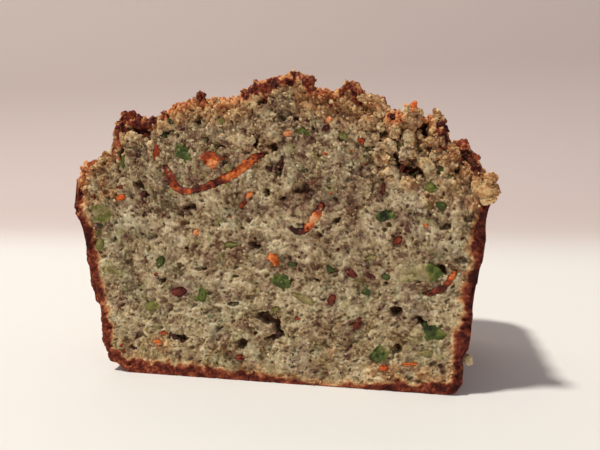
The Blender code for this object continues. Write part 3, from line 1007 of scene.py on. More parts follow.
@dataclass(frozen=True)
class Baking:
    """Where the cake is baked and toasted: browning is 1 in the crust and 0 in the crumb.

    Gold is the toasting that fades from the top and from the crust into the crumb. The
    top's outermost layer is pale, partly dry crumb and partly painted highlight where light
    catches the top edge, and its dark crust lies under that, partly painted shade.
    """

    wobble: Noise = Noise(1.0, 3.0, 91)
    ragged: Noise = Noise(1.0, 1.7, 93)
    gaps: Noise = Noise(1.6, 2.6, 99)
    foot: Span = (3.0, 6.0)
    wall_edge: float = 2.2
    wall_least: float = 1.2
    top_edge: float = 0.8
    # Depth of the pale outer layer along the top, partly painted highlight.
    dry_and_lit_layer: float = 1.0
    beside_wall: float = 2.4
    beside_gold: float = 0.85
    patches: Noise = Noise(1.5, 6.0, 95)
    straying: Noise = Noise(16.0, 13.0, 115)
    straying_behind: Span = (0.0, 14.0)
    rim_fade: float = 5.0
    rim_up: Span = (49.0, 54.0)
    patches_up: Span = (54.0, 59.0)
    dark_calm: float = 0.8
    deeper: Span = (1.0, 3.5)

    def on_skin(self, flat: Array) -> Shares:
        """The baked skin: dark, with golden patches on the top and a rim at the cut.

        Args:
            flat: Places on the form.

        Returns:
            The browning, the gold and the share of yellow in it by name.
        """
        x, z = flat[:, 0], flat[:, 2]
        behind = flat[:, 1] - flat[:, 1].min()
        strayed = x + rise(behind, *self.straying_behind) * self.straying.at(flat)
        dark = read_knots(TOP_CRUST, strayed)
        # The golden rim on the skin along the cut's top edge is partly toasting and partly painted
        # highlight.
        fade = np.exp(-(behind / self.rim_fade) ** 2) * rise(z, *self.rim_up)
        spots = smooth_step(0.45 + self.patches.at(flat))
        spots *= (1.0 - fade) * rise(z, *self.patches_up)
        toasted = (1.0 - self.dark_calm * smooth_step(dark)) * (fade + spots)
        toasted = np.clip(toasted, 0.0, 1.0)
        yellow = np.maximum.reduce([mark.share(x, z) for mark in YELLOW_CRUST])
        yellow = smooth_step(2.0 * yellow + 0.3 * self.wobble.at(flat))
        return {"browning": 1.0 - toasted, "gold": toasted, "yellow": yellow}

    def on_slab(self, flat: Array, to_wall: Array, to_top: Array, front: Array) -> Shares:
        """The cut with its ring of crust, and the skin round it.

        Args:
            flat: Places on the form.
            to_wall: Distances to the walls and the bottom.
            to_top: Distances to the top.
            front: Which vertices lie on the cut.

        Returns:
            The same numbers as for the skin.
        """
        x, z = flat[:, 0], flat[:, 2]
        skin = self.on_skin(flat)
        wobble, ragged = self.wobble.at(flat), self.ragged.at(flat)
        sides = np.where(x < 0.0, read_knots(LEFT_CRUST, z), read_knots(RIGHT_CRUST, z))
        side = rise(z, *self.foot)
        wall = sides * side + read_knots(BOTTOM_CRUST_AND_SHADOW, x) * (1.0 - side)
        wall *= 1.0 + 0.5 * wobble
        dark = read_knots(TOP_CRUST, x)
        reach = read_knots(TOP_CRUST, x, 2) * (1.0 + 0.3 * wobble)
        in_wall = smooth_step((wall - to_wall) / self.wall_edge + 0.45)
        in_wall *= smooth_step(wall / self.wall_least)
        in_top = smooth_step((dark * (1.0 + 0.5 * ragged) - to_top) / self.top_edge + 0.4)
        # The top's outer layer stays pale: partly dry crumb, partly painted highlight where light
        # catches the top edge.
        bared = (to_top - self.dry_and_lit_layer - 1.2 * ragged) / self.top_edge + 0.5
        in_top *= smooth_step(bared) * smooth_step(dark)
        in_top *= smooth_step(1.8 + self.gaps.at(flat))
        near_wall = self.beside_gold * smooth_step((wall + self.beside_wall - to_wall) / 3.0)
        near_top = np.clip(1.25 - to_top / reach, 0.0, 1.0)
        warm = np.maximum.reduce([
            mark.strength * smooth_step(1.6 * mark.share(x, z)) for mark in WARM_CRUMB
        ])
        warm *= 1.0 + 0.8 * wobble
        golden = np.clip(np.maximum.reduce((near_wall, near_top, warm)), 0.0, 1.0)
        return {
            "browning": np.where(front, np.maximum(in_wall, in_top), skin["browning"]),
            "gold": np.where(front, golden, skin["gold"]),
            "yellow": np.maximum(skin["yellow"], rise(to_top, *self.deeper) * front),
        }


@dataclass
class Cake:
    """The crumb and its crust, in two pieces that meet a little behind the cut."""

    form: LoafForm
    crumb: Crumb = Crumb()
    skin: Skin = Skin()
    baking: Baking = Baking()
    cut_counts: tuple[int, int, int] = (372, 9, 228)
    rows_behind: int = 116
    slab: float = 4.5
    limit: float = 1.0
    sunk_under_pieces: float = 1.0
    heaped_over_rims: float = 0.12
    creep: Noise = Noise(0.6, 1.3, 89)
    darker_right: float = 0.5
    right_wall: Span = (44.0, 49.0)
    crust_calm: float = 0.15
    rim_width: float = 1.6
    rim_set_back: float = 0.3
    # How deep the relief must sink for the painted shade of a hollow to begin and to be full.
    hollow: Span = (0.7, 2.5)
    pit_shade: float = 0.75
    rows_gather: float = 1.35

    def shares_across(self, corners: Array, across: int, up: int) -> tuple[Array, Array]:
        """Shares across and up of grid corners, closer at the lips and the foot.

        Args:
            corners: The grid's corners.
            across: Strips across.
            up: Strips up.

        Returns:
            The shares.
        """
        level = corners[:, 0] / across * 2.0 - 1.0
        height = corners[:, 2] / up
        return level * (1.12 - 0.12 * level ** 2), height * (0.85 + 0.15 * height)

    def build_cut(self, sunk: Places) -> tuple[Surface, Array]:
        """The cut with its crumb and its ring of crust, as a slab closed at the back.

        Args:
            sunk: Places of the vegetable pieces.

        Returns:
            The surface, and the vertex numbers round its back rim.
        """
        across, rows, up = self.cut_counts
        grid = BoxGrid(
            self.cut_counts, (Side.CUT, Side.LEFT, Side.RIGHT, Side.BOTTOM, Side.TOP)
        )
        corners, quads = grid.corners_and_quads()
        level, height = self.shares_across(corners, across, up)
        along = corners[:, 1] / rows * self.slab / self.form.length
        flat = self.form.place(level, along, height)
        x, z = flat[:, 0], flat[:, 2]
        front = corners[:, 1] == 0

        to_wall, to_top = self.form.edge_distance(x, z)
        inside = rise(np.minimum(to_wall, to_top), 0.0, self.rim_width) * front
        relief, shares = self.crumb.build(flat, to_top)
        shares |= self.baking.on_slab(flat, to_wall, to_top, front)
        shares["tint"] -= self.darker_right * rise(x, *self.right_wall) * shares["browning"]
        relief *= 1.0 - self.crust_calm * shares["browning"]
        relief = self.sunk_relief(relief, flat, sunk)
        relief = np.where(relief > 0.0, self.limit * np.tanh(relief / self.limit), relief)
        normals = vertex_normals(flat, quads)
        points = flat + normals * (self.skin.relief(flat) * (1.0 - inside))[:, None]
        points[:, 0] += self.skin.bulges(flat) * (1.0 - inside)
        set_back = self.rim_set_back * rise(z, 0.0, 3.0)
        points[:, 1] += set_back * (1.0 - inside) * front - relief * inside

        loop = grid.rim(corners, rows)
        ends = points[loop[0::2]]
        points[loop[1::2]] = (ends + np.roll(ends, -1, axis=0)) / 2.0
        # Painted shade: the hollow share darkens deep hollows and gas pits in the finish, where shade
        # falls.
        deep = rise(-relief, *self.hollow)
        shares["hollow"] = np.maximum(deep, self.pit_shade * shares.pop("pit")) * inside
        return self.closed(points, quads, loop, shares, False), loop

    def sunk_relief(self, relief: Array, flat: Array, sunk: Places) -> Array:
        """Sinks the crumb under the pieces and heaps it a little over their rims.

        Args:
            relief: The crumb's relief.
            flat: Places on the flat cut.
            sunk: Places of the pieces.

        Returns:
            The new relief.
        """
        creep = self.creep.at(flat)
        for place in sunk:
            share = place.share(flat[:, 0], flat[:, 2])
            under = smooth_step(2.2 * share - 0.35 + creep) * smooth_step(6.0 * share)
            below = 0.4 * np.minimum(relief, 0.0) - self.sunk_under_pieces
            heaped = relief + self.heaped_over_rims * smooth_step(5.0 * share)
            relief = heaped * (1.0 - under) + below * under
        return relief

    def build_crust(self, cut: Surface, cut_loop: Array) -> Surface:
        """The baked skin behind the slab, from the slab's back rim on.

        Args:
            cut: The slab.
            cut_loop: Vertex numbers round its back rim.

        Returns:
            The closed surface.
        """
        across, up = self.cut_counts[0] // 2, self.cut_counts[2] // 2
        counts = (across, self.rows_behind, up)
        grid = BoxGrid(counts, (Side.LEFT, Side.RIGHT, Side.BOTTOM, Side.TOP, Side.HEEL))
        corners, quads = grid.corners_and_quads()
        level, height = self.shares_across(corners, across, up)
        row = corners[:, 1] / self.rows_behind
        start = self.slab / self.form.length
        along = start + (1.0 - start) * (1.0 - (1.0 - row) ** self.rows_gather)
        flat = self.form.place(level, along, height)
        normals = vertex_normals(flat, quads)
        points = flat + normals * self.skin.relief(flat)[:, None]
        points[:, 0] += self.skin.bulges(flat)
        loop = grid.rim(corners, 0)
        points[loop] = cut.points[cut_loop[0::2]]
        shares = {name: np.zeros(len(flat)) for name in cut.shares}
        shares |= {"tint": self.skin.tint(flat), **self.baking.on_skin(flat)}
        return self.closed(points, quads, loop, shares, True)

    @staticmethod
    def closed(points: Array, quads: Array, loop: Array, shares: Shares,
               facing_cut: bool) -> Surface:
        """Closes a surface with a fan from its open rim to one vertex in the middle.

        Args:
            points: Vertices.
            quads: Four-sided faces.
            loop: Vertex numbers round the rim.
            shares: Numbers at the vertices.
            facing_cut: Whether the fan faces the cut.

        Returns:
            The closed surface.
        """
        middle = points[loop].mean(axis=0)
        ring = np.column_stack((np.full(len(loop), len(points)), loop, np.roll(loop, -1)))
        fan = ring if facing_cut else ring[:, ::-1]
        whole = {name: np.append(values, values[loop].mean()) for name, values in shares.items()}
        return Surface(np.vstack((points, middle)), quads, fan, whole)


class Kind(Enum):
    """Kinds of vegetable, by the record's material slots."""

    CARROT = "carrot"
    PEPPER = "pepper"
    COURGETTE = "courgette"


@dataclass(frozen=True)
class Chunk:
    """A piece with an uneven outline, named as its solid is.

    It has a shade at each end, a change of shade at its rim, and a squareness: 2 makes its
    outline an oval, and more makes it a box with round corners.
    """

    node: str
    kind: Kind
    place: Mark
    shades: Span
    rim: float = 0.0
    squareness: float = 2.4
    change: Span = (0.5, 1.0)


def dark_halo(bit: Mark) -> Mark:
    """Darker crumb round a pepper bit; round the bits that stand in cavities it is painted shade."""
    length, width = bit.length * DARK_HALO_REACH[0], bit.width * DARK_HALO_REACH[1]
    return Mark(bit.x, bit.z, length, width, bit.turn, DARK_HALO_STRENGTH)


CHUNKS = (
    Chunk("carrot_chunk", Kind.CARROT, Mark(-15.6, 61.2, 6.2, 5, -38), (0.66, 0.64), -0.14, 3),
    Chunk("carrot_piece", Kind.CARROT, Mark(1, 34.3, 4.2, 3.2, -50), (0.86, 0.56), 0.06, 3),
    Chunk("courgette_rind", Kind.COURGETTE, Mark(-23.7, 63.1, 5.8, 4.2, -30), (0.26, 0.36), 0.26),
    Chunk("courgette_slice_1", Kind.COURGETTE, Mark(38.8, 31.5, 11.2, 5.2, 8),
          (1.15, 0.42), 0, 3, (0.66, 0.16)),
    Chunk("courgette_slice_2", Kind.COURGETTE, Mark(42.5, 16.3, 6.2, 4.6, -35),
          (0.16, 0.5), 0.08, 3, (0.36, 0.5)),
    Chunk("courgette_slice_3", Kind.COURGETTE, Mark(29, 10.2, 5.8, 4.4, 30),
          (0.4, 0.92), 0.06, 2.6, (0.72, 0.4)),
    Chunk("courgette_slice_4", Kind.COURGETTE, Mark(2.9, 28.5, 6.4, 4.4, -32),
          (0.5, 0.26), 0.06, 2.6),
    Chunk("courgette_slice_5", Kind.COURGETTE, Mark(-49.4, 46.6, 7.6, 5.8, -25), (0.74, 0.8), 0.06),
    Chunk("courgette_slice_6", Kind.COURGETTE, Mark(-48.1, 30.2, 6, 3.6, 5), (0.82, 0.92), 0.08),
    Chunk("courgette_slice_7", Kind.COURGETTE, Mark(30.4, 46.2, 5.2, 3.4, 10), (0.34, 0.2), 0.2),
)

# Reach and strength of the darker crumb round pepper bits, partly painted shade.
DARK_HALO_REACH = (1.5, 1.8)
DARK_HALO_STRENGTH = 0.85
# Small shreds and dice in the cut, too small for a solid of their own.
BITS = {
    Kind.CARROT: from_rows(
        Mark,
        (-31.4, 63.7, 6.2, 2.2, 78, 0.42), (-7.2, 49.2, 3, 1.5, 50, 0.35),
        (-5.3, 51.6, 2.8, 1.5, 48, 0.8), (-43.3, 51.2, 3.8, 2, 12, 0.62),
        (5.4, 67.3, 2.8, 2, 20, 0.95), (16.3, 70.5, 2.4, 2, 40, 0.85),
        (24.5, 65, 2.4, 1.8, -20, 0.42), (37.2, 73, 2.3, 1.7, 60, 0.72),
        (-21, 41.5, 2.9, 2.2, 70, 0.92), (-32.4, 12.4, 3, 1.6, 10, 0.5),
        (-34.6, 9.6, 2.6, 1.6, -10, 0.78), (29.7, 6.1, 3.2, 2.1, 5, 0.55),
        (36.3, 7.7, 5, 1.5, 8, 0.75),
    ),
    # The darkest, at 3.3, 59.8 and 0.4, 58.4, are dark bits put where small cavities lie in shade:
    # painted shade.
    Kind.PEPPER: from_rows(
        Mark,
        (-36.2, 52, 2.2, 1.5, 60, 0.04), (-51.8, 60.4, 2.8, 1.7, 35, 0.5),
        (3.3, 59.8, 4.4, 1.1, 62, 0.06), (0.4, 58.4, 2.8, 1.2, -35, 0.03),
        (15.5, 68.3, 2.4, 1.8, 30, 0.18), (29.7, 52.8, 4.8, 1.3, 82, 0.18),
        (-26.8, 24.6, 6, 3.2, 15, 0.16), (-10, 6.5, 3, 2.2, 10, 0.3), (33.3, 40, 3.2, 2.4, 30, 0.32),
        (21.6, 31, 3.4, 2.4, -25, 0.2), (16.3, 23.9, 3.6, 2.4, 70, 0.26),
        (23.1, 17.7, 4.2, 2.2, 62, 0.18), (26.6, 30.6, 3.4, 1.4, -20, 0.1),
    ),
    Kind.COURGETTE: from_rows(
        Mark,
        (-41.6, 60.9, 4.4, 1.3, 78, 0.45), (9.6, 67.7, 4.6, 2.3, -20, 0.52),
        (20.1, 66.1, 3, 2, -40, 0.7), (41.2, 53, 3.8, 3, 25, 0.6), (43.9, 48.7, 3.2, 2.4, -35, 0.3),
        (-11.3, 38.2, 4.8, 2.1, 6, 0.68), (-32.1, 33.2, 4.8, 3, 68, 0.34),
        (-50.7, 37.7, 4.2, 2.7, 80, 0.72), (-20, 23.9, 5.4, 3, 72, 0.48),
        (-35.5, 20.2, 5, 3.2, 10, 0.74), (1, 20.9, 3, 1.8, 20, 0.72),
        (37.1, 14.4, 4.6, 1.9, -20, 0.94), (40.6, 10.9, 4.8, 2, 10, 0.84),
        (25.2, 26.3, 2.6, 1.8, 20, 0.26), (15.9, 32.1, 2.8, 1.8, -40, 0.28),
        (5.8, 33.2, 2.6, 1.7, 10, 0.3), (30.4, 30.4, 2.6, 1.7, -10, 0.28),
        (8.8, 23.9, 8.2, 2.5, -25, 0.86), (26.8, 35.3, 3.2, 2.1, 0, 0.86),
    ),
}


@dataclass(frozen=True)
class Template:
    """A ball of rings round the Z axis, closed at both poles, that small things are made from."""

    around: int
    rings: int

    def shape(self) -> tuple[Array, Array, Array]:
        """Directions to the vertices, and the faces between them.

        The latitudes are even from pole to pole, and each ring is turned by half a step
        against the one above it.

        Returns:
            The directions, the quads and the triangles.
        """
        ring, step = np.meshgrid(np.arange(1, self.rings), np.arange(self.around), indexing="ij")
        latitude = math.pi / 2.0 - math.pi * ring / self.rings
        angle = 2.0 * math.pi * (step + 0.5 * ring) / self.around
        level = np.column_stack((
            (np.cos(latitude) * np.cos(angle)).ravel(), (np.cos(latitude) * np.sin(angle)).ravel(),
            np.sin(latitude).ravel(),
        ))
        points = np.vstack(((0.0, 0.0, 1.0), level, (0.0, 0.0, -1.0)))
        number = 1 + np.arange(level.shape[0]).reshape(self.rings - 1, self.around)
        after = np.roll(number, -1, axis=1)
        quads = np.stack((number[:-1], number[1:], after[1:], after[:-1]), axis=-1).reshape(-1, 4)
        last = len(points) - 1
        top = np.column_stack((np.zeros(self.around, int), number[0], after[0]))
        low = np.column_stack((np.full(self.around, last), after[-1], number[-1]))
        return points, quads, np.vstack((top, low))


def random_frames(count: int, generator: np.random.Generator) -> Array:
    """Random frames: a direction, another at right angles and their cross product.

    Args:
        count: How many.
        generator: Source of the random numbers.

    Returns:
        Three rows of three for each.
    """
    first, second = generator.normal(size=(2, count, 3))
    first /= np.linalg.norm(first, axis=1)[:, None]
    second -= first * (first * second).sum(axis=1)[:, None]
    second /= np.linalg.norm(second, axis=1)[:, None]
    return np.stack((first, second, np.cross(first, second)), axis=1)


def scatter(template: Template, middles: Array, radii: Array, frames: Array,
            shares: Shares, swell: Array) -> Surface:
    """Joins many small balls into one surface.

    Each vertex is the ball's middle plus its frame's vectors, weighted by the template's
    direction times the ball's three radii and its swell.

    Args:
        template: The ball.
        middles: Middles.
        radii: Three radii of each.
        frames: Three unit vectors for each.
        shares: Numbers for each, by name.
        swell: Factors of the radii, by ball, vertex and one.

    Returns:
        The joined surface.
    """
    directions, quads, triangles = template.shape()
    count, each = len(middles), len(directions)
    local = directions[None] * radii[:, None] * swell
    points = middles[:, None] + np.einsum("nvk,nkx->nvx", local, frames)
    first = (np.arange(count) * each)[:, None, None]
    return Surface(
        points.reshape(-1, 3), (quads[None] + first).reshape(-1, 4),
        (triangles[None] + first).reshape(-1, 3),
        {name: np.repeat(values, each) for name, values in shares.items()},
    )


def level_frames(turns: Array) -> Array:
    """Frames in the plane of the cut: along a turned line, over it and out of it.

    Args:
        turns: Degrees from the X axis up.

    Returns:
        Three rows of three for each.
    """
    turn = np.radians(turns)
    none = np.zeros(len(turn))
    along = np.column_stack((np.cos(turn), none, np.sin(turn)))
    over = np.column_stack((-np.sin(turn), none, np.cos(turn)))
    return np.stack((along, over, np.cross(along, over)), axis=1)


@dataclass(frozen=True)
class Lump(Mark):
    """A lump of crumb or crust that stands out by itself; its strength is how deep it is sunk."""

    tint: float = 0.0
    gold: float = 0.0
    browning: float = 0.0
    plum: float = 0.0


LUMPS = from_rows(
    Lump,
    (26.4, 69.3, 4.6, 4, 20, 0.8, 0.42, 0.15), (32.4, 67.2, 3.8, 4.4, 20, 0.5, 0.8, 0.4),
    (29.3, 68, 2.4, 2.6, 0, 0.5, 0.8, 0.25), (35.7, 65.6, 3.2, 2.8, 0, 0.3, 0.72, 0.15),
    (31.1, 63.4, 4.2, 3.4, 0, 0.8, 0.58, 0.2), (27.8, 65.2, 3.6, 1.9, 70, 0.6, 0.7, 0.1),
    (34.8, 61.5, 3.2, 2.4, 80, -0.2, 1.0), (36.9, 61.2, 2.6, 2.6, 0, 0.3, 0.5, 0.2),
    (43.1, 64.1, 4.2, 3.8, 0, 0.9, 0.28, 0.25, 0.0, 0.25), (42.9, 69.9, 3.2, 2.8, 0, 0.6, 0.5, 1.0),
    (43.8, 67.4, 3.6, 3, -20, 0.4, 0.1, 0.1, 1.0),
    (36.9, 69.2, 5.2, 5, 60, 1.2, 0.35, 0.2, 0.0, 0.35), (35.6, 71.6, 2.8, 2.2, 50, 0.9, 0.9, 0.35),
    (38.6, 71, 2.4, 2, -60, 0.9, 0.8, 0.35), (27.9, 74, 4, 2.8, -30, 1, 0.75, 1.0),
    (25.2, 75.4, 2.6, 2.2, 0, 1, 0.5, 0.5), (31.4, 70.3, 3.2, 2.6, 0, 0.9, 0.3, 0.3, 1.0),
    (48.6, 63.2, 3.6, 2.6, -20, 0.9, 0.6, 0.1, 1.0), (51.8, 60.2, 2.4, 1.8, -40, 0.9, 0.6, 0.4, 0.8),
    (49.6, 56.7, 3.8, 3, 70, 0.6, 0.42, 0.7), (46.2, 62.5, 3.2, 2.4, 0, 0.7, 0.15, 0.9),
    (41.8, 60.5, 2.8, 2.4, 20, 0.3, 0.88, 0.15), (44.5, 61, 2.2, 2.2, 0, 0.3, 0.25, 0.2, 0.0, 0.2),
    (46.4, 58.6, 2.4, 1.8, 30, 0.4, 0.22, 0.3), (54.8, 54.5, 4.4, 3.6, 30, 0.1, 0.58, 1.0),
    (54, 52.4, 4.8, 4.4, 0, -0.1, 0.68, 1.0), (55.8, 52.4, 3.4, 4.2, 80, 0.1, 0.72, 1.0),
    (54.7, 50.6, 4.4, 3.2, 0, 0.1, 0.84, 0.95), (52.4, 54.4, 4.8, 3, 80, 0.1, 0.6, 0.8),
    (-40.6, 67.4, 3, 2.6, 0, 0.2, 1.0, 0.55), (-38.4, 68, 3.2, 2.8, 20, 0.2, 1.0, 0.5),
    (-36.2, 67.2, 2.4, 2.2, 0, 0.5, 0.6, 0.4), (-39, 65.8, 2.4, 1.8, 0, 0.3, 0.6, 0.3),
    (-33, 64.6, 2.2, 4.2, -20, 0.3, 1.0, 0.45), (-40.8, 74.2, 1.8, 1.6, 0, 0.9, 0.4, 0.0, 1.0),
    (-38.6, 73.9, 2.4, 1.8, 0, 0.8, 0.6, 0.1, 1.0), (-36.2, 73.1, 2, 1.6, 0, 0.9, 0.4, 0.1, 1.0),
    (-30, 70.2, 1.9, 4.6, 5, 0.6, 0.95, 0.6), (-17.8, 77.9, 2.4, 2.8, 10, 0.9, 0.5, 0.1, 1.0),
    (-16.6, 76.2, 3.2, 2, 0, 0.9, 0.8, 0.3, 0.9), (-20, 76.6, 2.2, 1.6, 0, 0.9, 0.6, 0.6, 0.5),
    (-13.4, 76.4, 2.2, 1.8, 0, 0.9, 0.8, 0.9, 0.2), (3.4, 77.6, 3, 2.6, 20, 0.5, 0.3, 0.1, 0.0, 0.3),
    (5.8, 77, 2.6, 2.2, 0, 0.5, 0.75, 0.2), (1.4, 75.4, 2.2, 2, 40, 0.5, 0.5, 0.0, 0.0, 0.2),
    (-4.2, 66, 2.4, 1.8, 0, 0.4, 1.0), (-5, 63.6, 2, 1.6, 30, 0.4, 0.2, 0.0, 0.0, 0.7),
    (12, 80.3, 2.6, 2.2, 0, 1, 0.8, 0.5, 0.8), (50.9, 8.9, 2.1, 3, 20, 3.4, 0.9, 0.1),
    (10.4, 1.2, 2.6, 1.5, 10, 0.6, 0.6, 0.6),
)


CRUMB_STAND = 1.0
KNOB_HEADROOM = 2.0


@dataclass
class Crumbs:
    """Loose crumbs and lumps on the cut, and baked knobs on the crust's top.

    None of the small ones stands out in front of the furthest Y.
    """

    furthest: float
    seed: int = 5
    grain_count: int = 5000
    clinging_count: int = 1100
    grain_radius: Span = (0.15, 0.52)
    grain_sunk: float = 0.1
    denser_up: Span = (48.0, 64.0)
    front_depth: float = 4.5
    knob_count: int = 4300
    knob_parts: Span = (0.66, 0.34)
    knob_radius: Span = (0.24, 0.85)
    knob_sunk: float = 0.25
    knob_onset: float = 5.0
    small_ones: float = 2.4
    squeeze: Span = (0.65, 1.3)
    swell: Span = (0.68, 1.32)
    lump_reach: float = 1.4
    lump_thickness: float = 0.8
    lump_warp: Span = (0.6, 1.6)
    lump_dents: Noise = Noise(0.4, 2.0, 187, 2)

    def lot(self, surface: Surface, normals: Array, weight: Array, count: int, span: Span,
            sunk: float, generator: np.random.Generator) -> tuple[Array, Array, Shares]:
        """A lot of crumbs on a surface: most of them small, and few near the largest.

        Args:
            surface: The surface.
            normals: Its normals.
            weight: How likely each vertex is.
            count: How many.
            span: Smallest and largest radius.
            sunk: How deep the middles lie, as a share of the radius.
            generator: Source of the random numbers.

        Returns:
            The middles, rows of three radii, and the surface's numbers there.
        """
        picked = generator.choice(len(weight), count, False, weight / weight.sum())
        size = span[0] + (span[1] - span[0]) * generator.random(count) ** self.small_ones
        radii = size[:, None] * generator.uniform(*self.squeeze, (count, 3))
        middles = surface.points[picked] - normals[picked] * radii.mean(axis=1)[:, None] * sunk
        middles[:, 1] = np.maximum(middles[:, 1], self.furthest + radii.max(axis=1))
        return middles, radii, {name: values[picked] for name, values in surface.shares.items()}

    def on_cut(self, cut: Surface, lumps: Surface, sunk: Places) -> Surface:
        """Crumbs left standing on the cut and on its lumps, a little sunk in them.

        Args:
            cut: The cut's surface.
            lumps: The lumps' surface.
            sunk: Places of the vegetable pieces, which stay bare but for their rims.

        Returns:
            The crumbs, joined.
        """
        generator = np.random.default_rng(self.seed)
        made = []
        for surface, count in ((cut, self.grain_count), (lumps, self.clinging_count)):
            points, shares = surface.points[:-1], surface.shares
            normals = vertex_normals(points, surface.quads)
            weight = 0.5 + 2.0 * rise(points[:, 2], *self.denser_up)
            weight *= (shares["browning"][:-1] < 0.4) & (shares["hollow"][:-1] < 0.9)
            near = points[:, 1].min() + self.front_depth
            weight *= (normals[:, 1] < -0.15) & (points[:, 1] < near)
            for place in sunk:
                weight *= place.share(points[:, 0], points[:, 2]) < 0.45
            middles, radii, own = self.lot(
                surface, normals, weight, count, self.grain_radius, self.grain_sunk, generator
            )
            # Crumbs in hollows keep half of the painted shade there.
            own["hollow"] = own["hollow"] * 0.5
            own["tint"] = 0.3 * own["tint"] + 0.9 * generator.random(count) ** 0.8
            made.append((middles, radii, own))
        return self.joined(made, Template(5, 3), generator)

    def on_top(self, crust: Surface, cut: Surface, lowest: float, highest: float) -> Surface:
        """Craggy knobs over the baked top, thickest along the cut's edge.

        Args:
            crust: The crust's surface.
            cut: The slab's, whose top is crust too.
            lowest: Where they begin.
            highest: What none reaches over.

        Returns:
            The knobs, joined.
        """
        generator = np.random.default_rng(self.seed + 1)
        made = []
        for surface, share in zip((crust, cut), self.knob_parts):
            points = surface.points[:-1]
            normals = vertex_normals(points, surface.quads)
            upper = rise(points[:, 2], lowest, lowest + self.knob_onset)
            upper *= (normals[:, 2] > 0.15) & (normals[:, 1] > -0.8)
            count = int(self.knob_count * share)
            middles, radii, own = self.lot(
                surface, normals, upper, count, self.knob_radius, self.knob_sunk, generator
            )
            middles[:, 2] = np.minimum(middles[:, 2], highest - radii.max(axis=1))
            own["hollow"] = np.zeros(count)
            own["tint"] = (0.42 + 0.42 * generator.random(count)) * (1.0 - 0.5 * own["browning"])
            made.append((middles, radii, own))
        return self.joined(made, Template(7, 4), generator)

    def joined(self, made: list[tuple[Array, Array, Shares]], template: Template,
               generator: np.random.Generator) -> Surface:
        """Joins lots of crumbs into one surface, each turned and dented its own way.

        Args:
            made: For each lot its middles, radii and numbers.
            template: The ball.
            generator: Source of the random numbers.

        Returns:
            The joined surface.
        """
        middles = np.concatenate([part[0] for part in made])
        radii = np.concatenate([part[1] for part in made])
        own = {name: np.concatenate([part[2][name] for part in made]) for name in made[0][2]}
        own["tint"] = np.clip(own["tint"], 0.0, 1.0)
        swell = generator.uniform(*self.swell, (len(radii), len(template.shape()[0]), 1))
        return scatter(template, middles, radii, random_frames(len(radii), generator), own, swell)

    def lumps(self, cut_y: float) -> Surface:
        """The lumps that stand out by themselves, grainy like the crumb round them.

        Args:
            cut_y: Y of the cut.

        Returns:
            The lumps, joined.
        """
        x, z, length, width, turn, sunk, tint, gold, browning, plum = np.array(
            [astuple(lump) for lump in LUMPS]
        ).T
        thickness = self.lump_thickness * np.minimum(length, width)
        radii = np.column_stack((length, width, thickness)) / 2.0
        none = np.zeros(len(LUMPS))
        shares = {
            "tint": 0.9 * tint, "gold": 0.25 + 0.75 * gold, "browning": browning, "plum": plum,
            "sage": none, "straw": none, "hollow": none, "yellow": np.ones(len(LUMPS)),
        }
        made = scatter(
            Template(40, 26), np.column_stack((x, cut_y + sunk, z)), radii, level_frames(turn),
            shares, np.ones((1, 1, 1)),
        )
        moved = warped(made.points, *self.lump_warp, 185)
        relief = LUMP_CLUMPS.relief(moved)[0] + LUMP_GRAINS.relief(moved)[0]
        relief += self.lump_dents.at(made.points)
        made.points += vertex_normals(made.points, made.quads) * relief[:, None]
        out = np.maximum(cut_y - made.points[:, 1], 0.0)
        made.points[:, 1] += out - self.lump_reach * np.tanh(out / self.lump_reach)
        return made


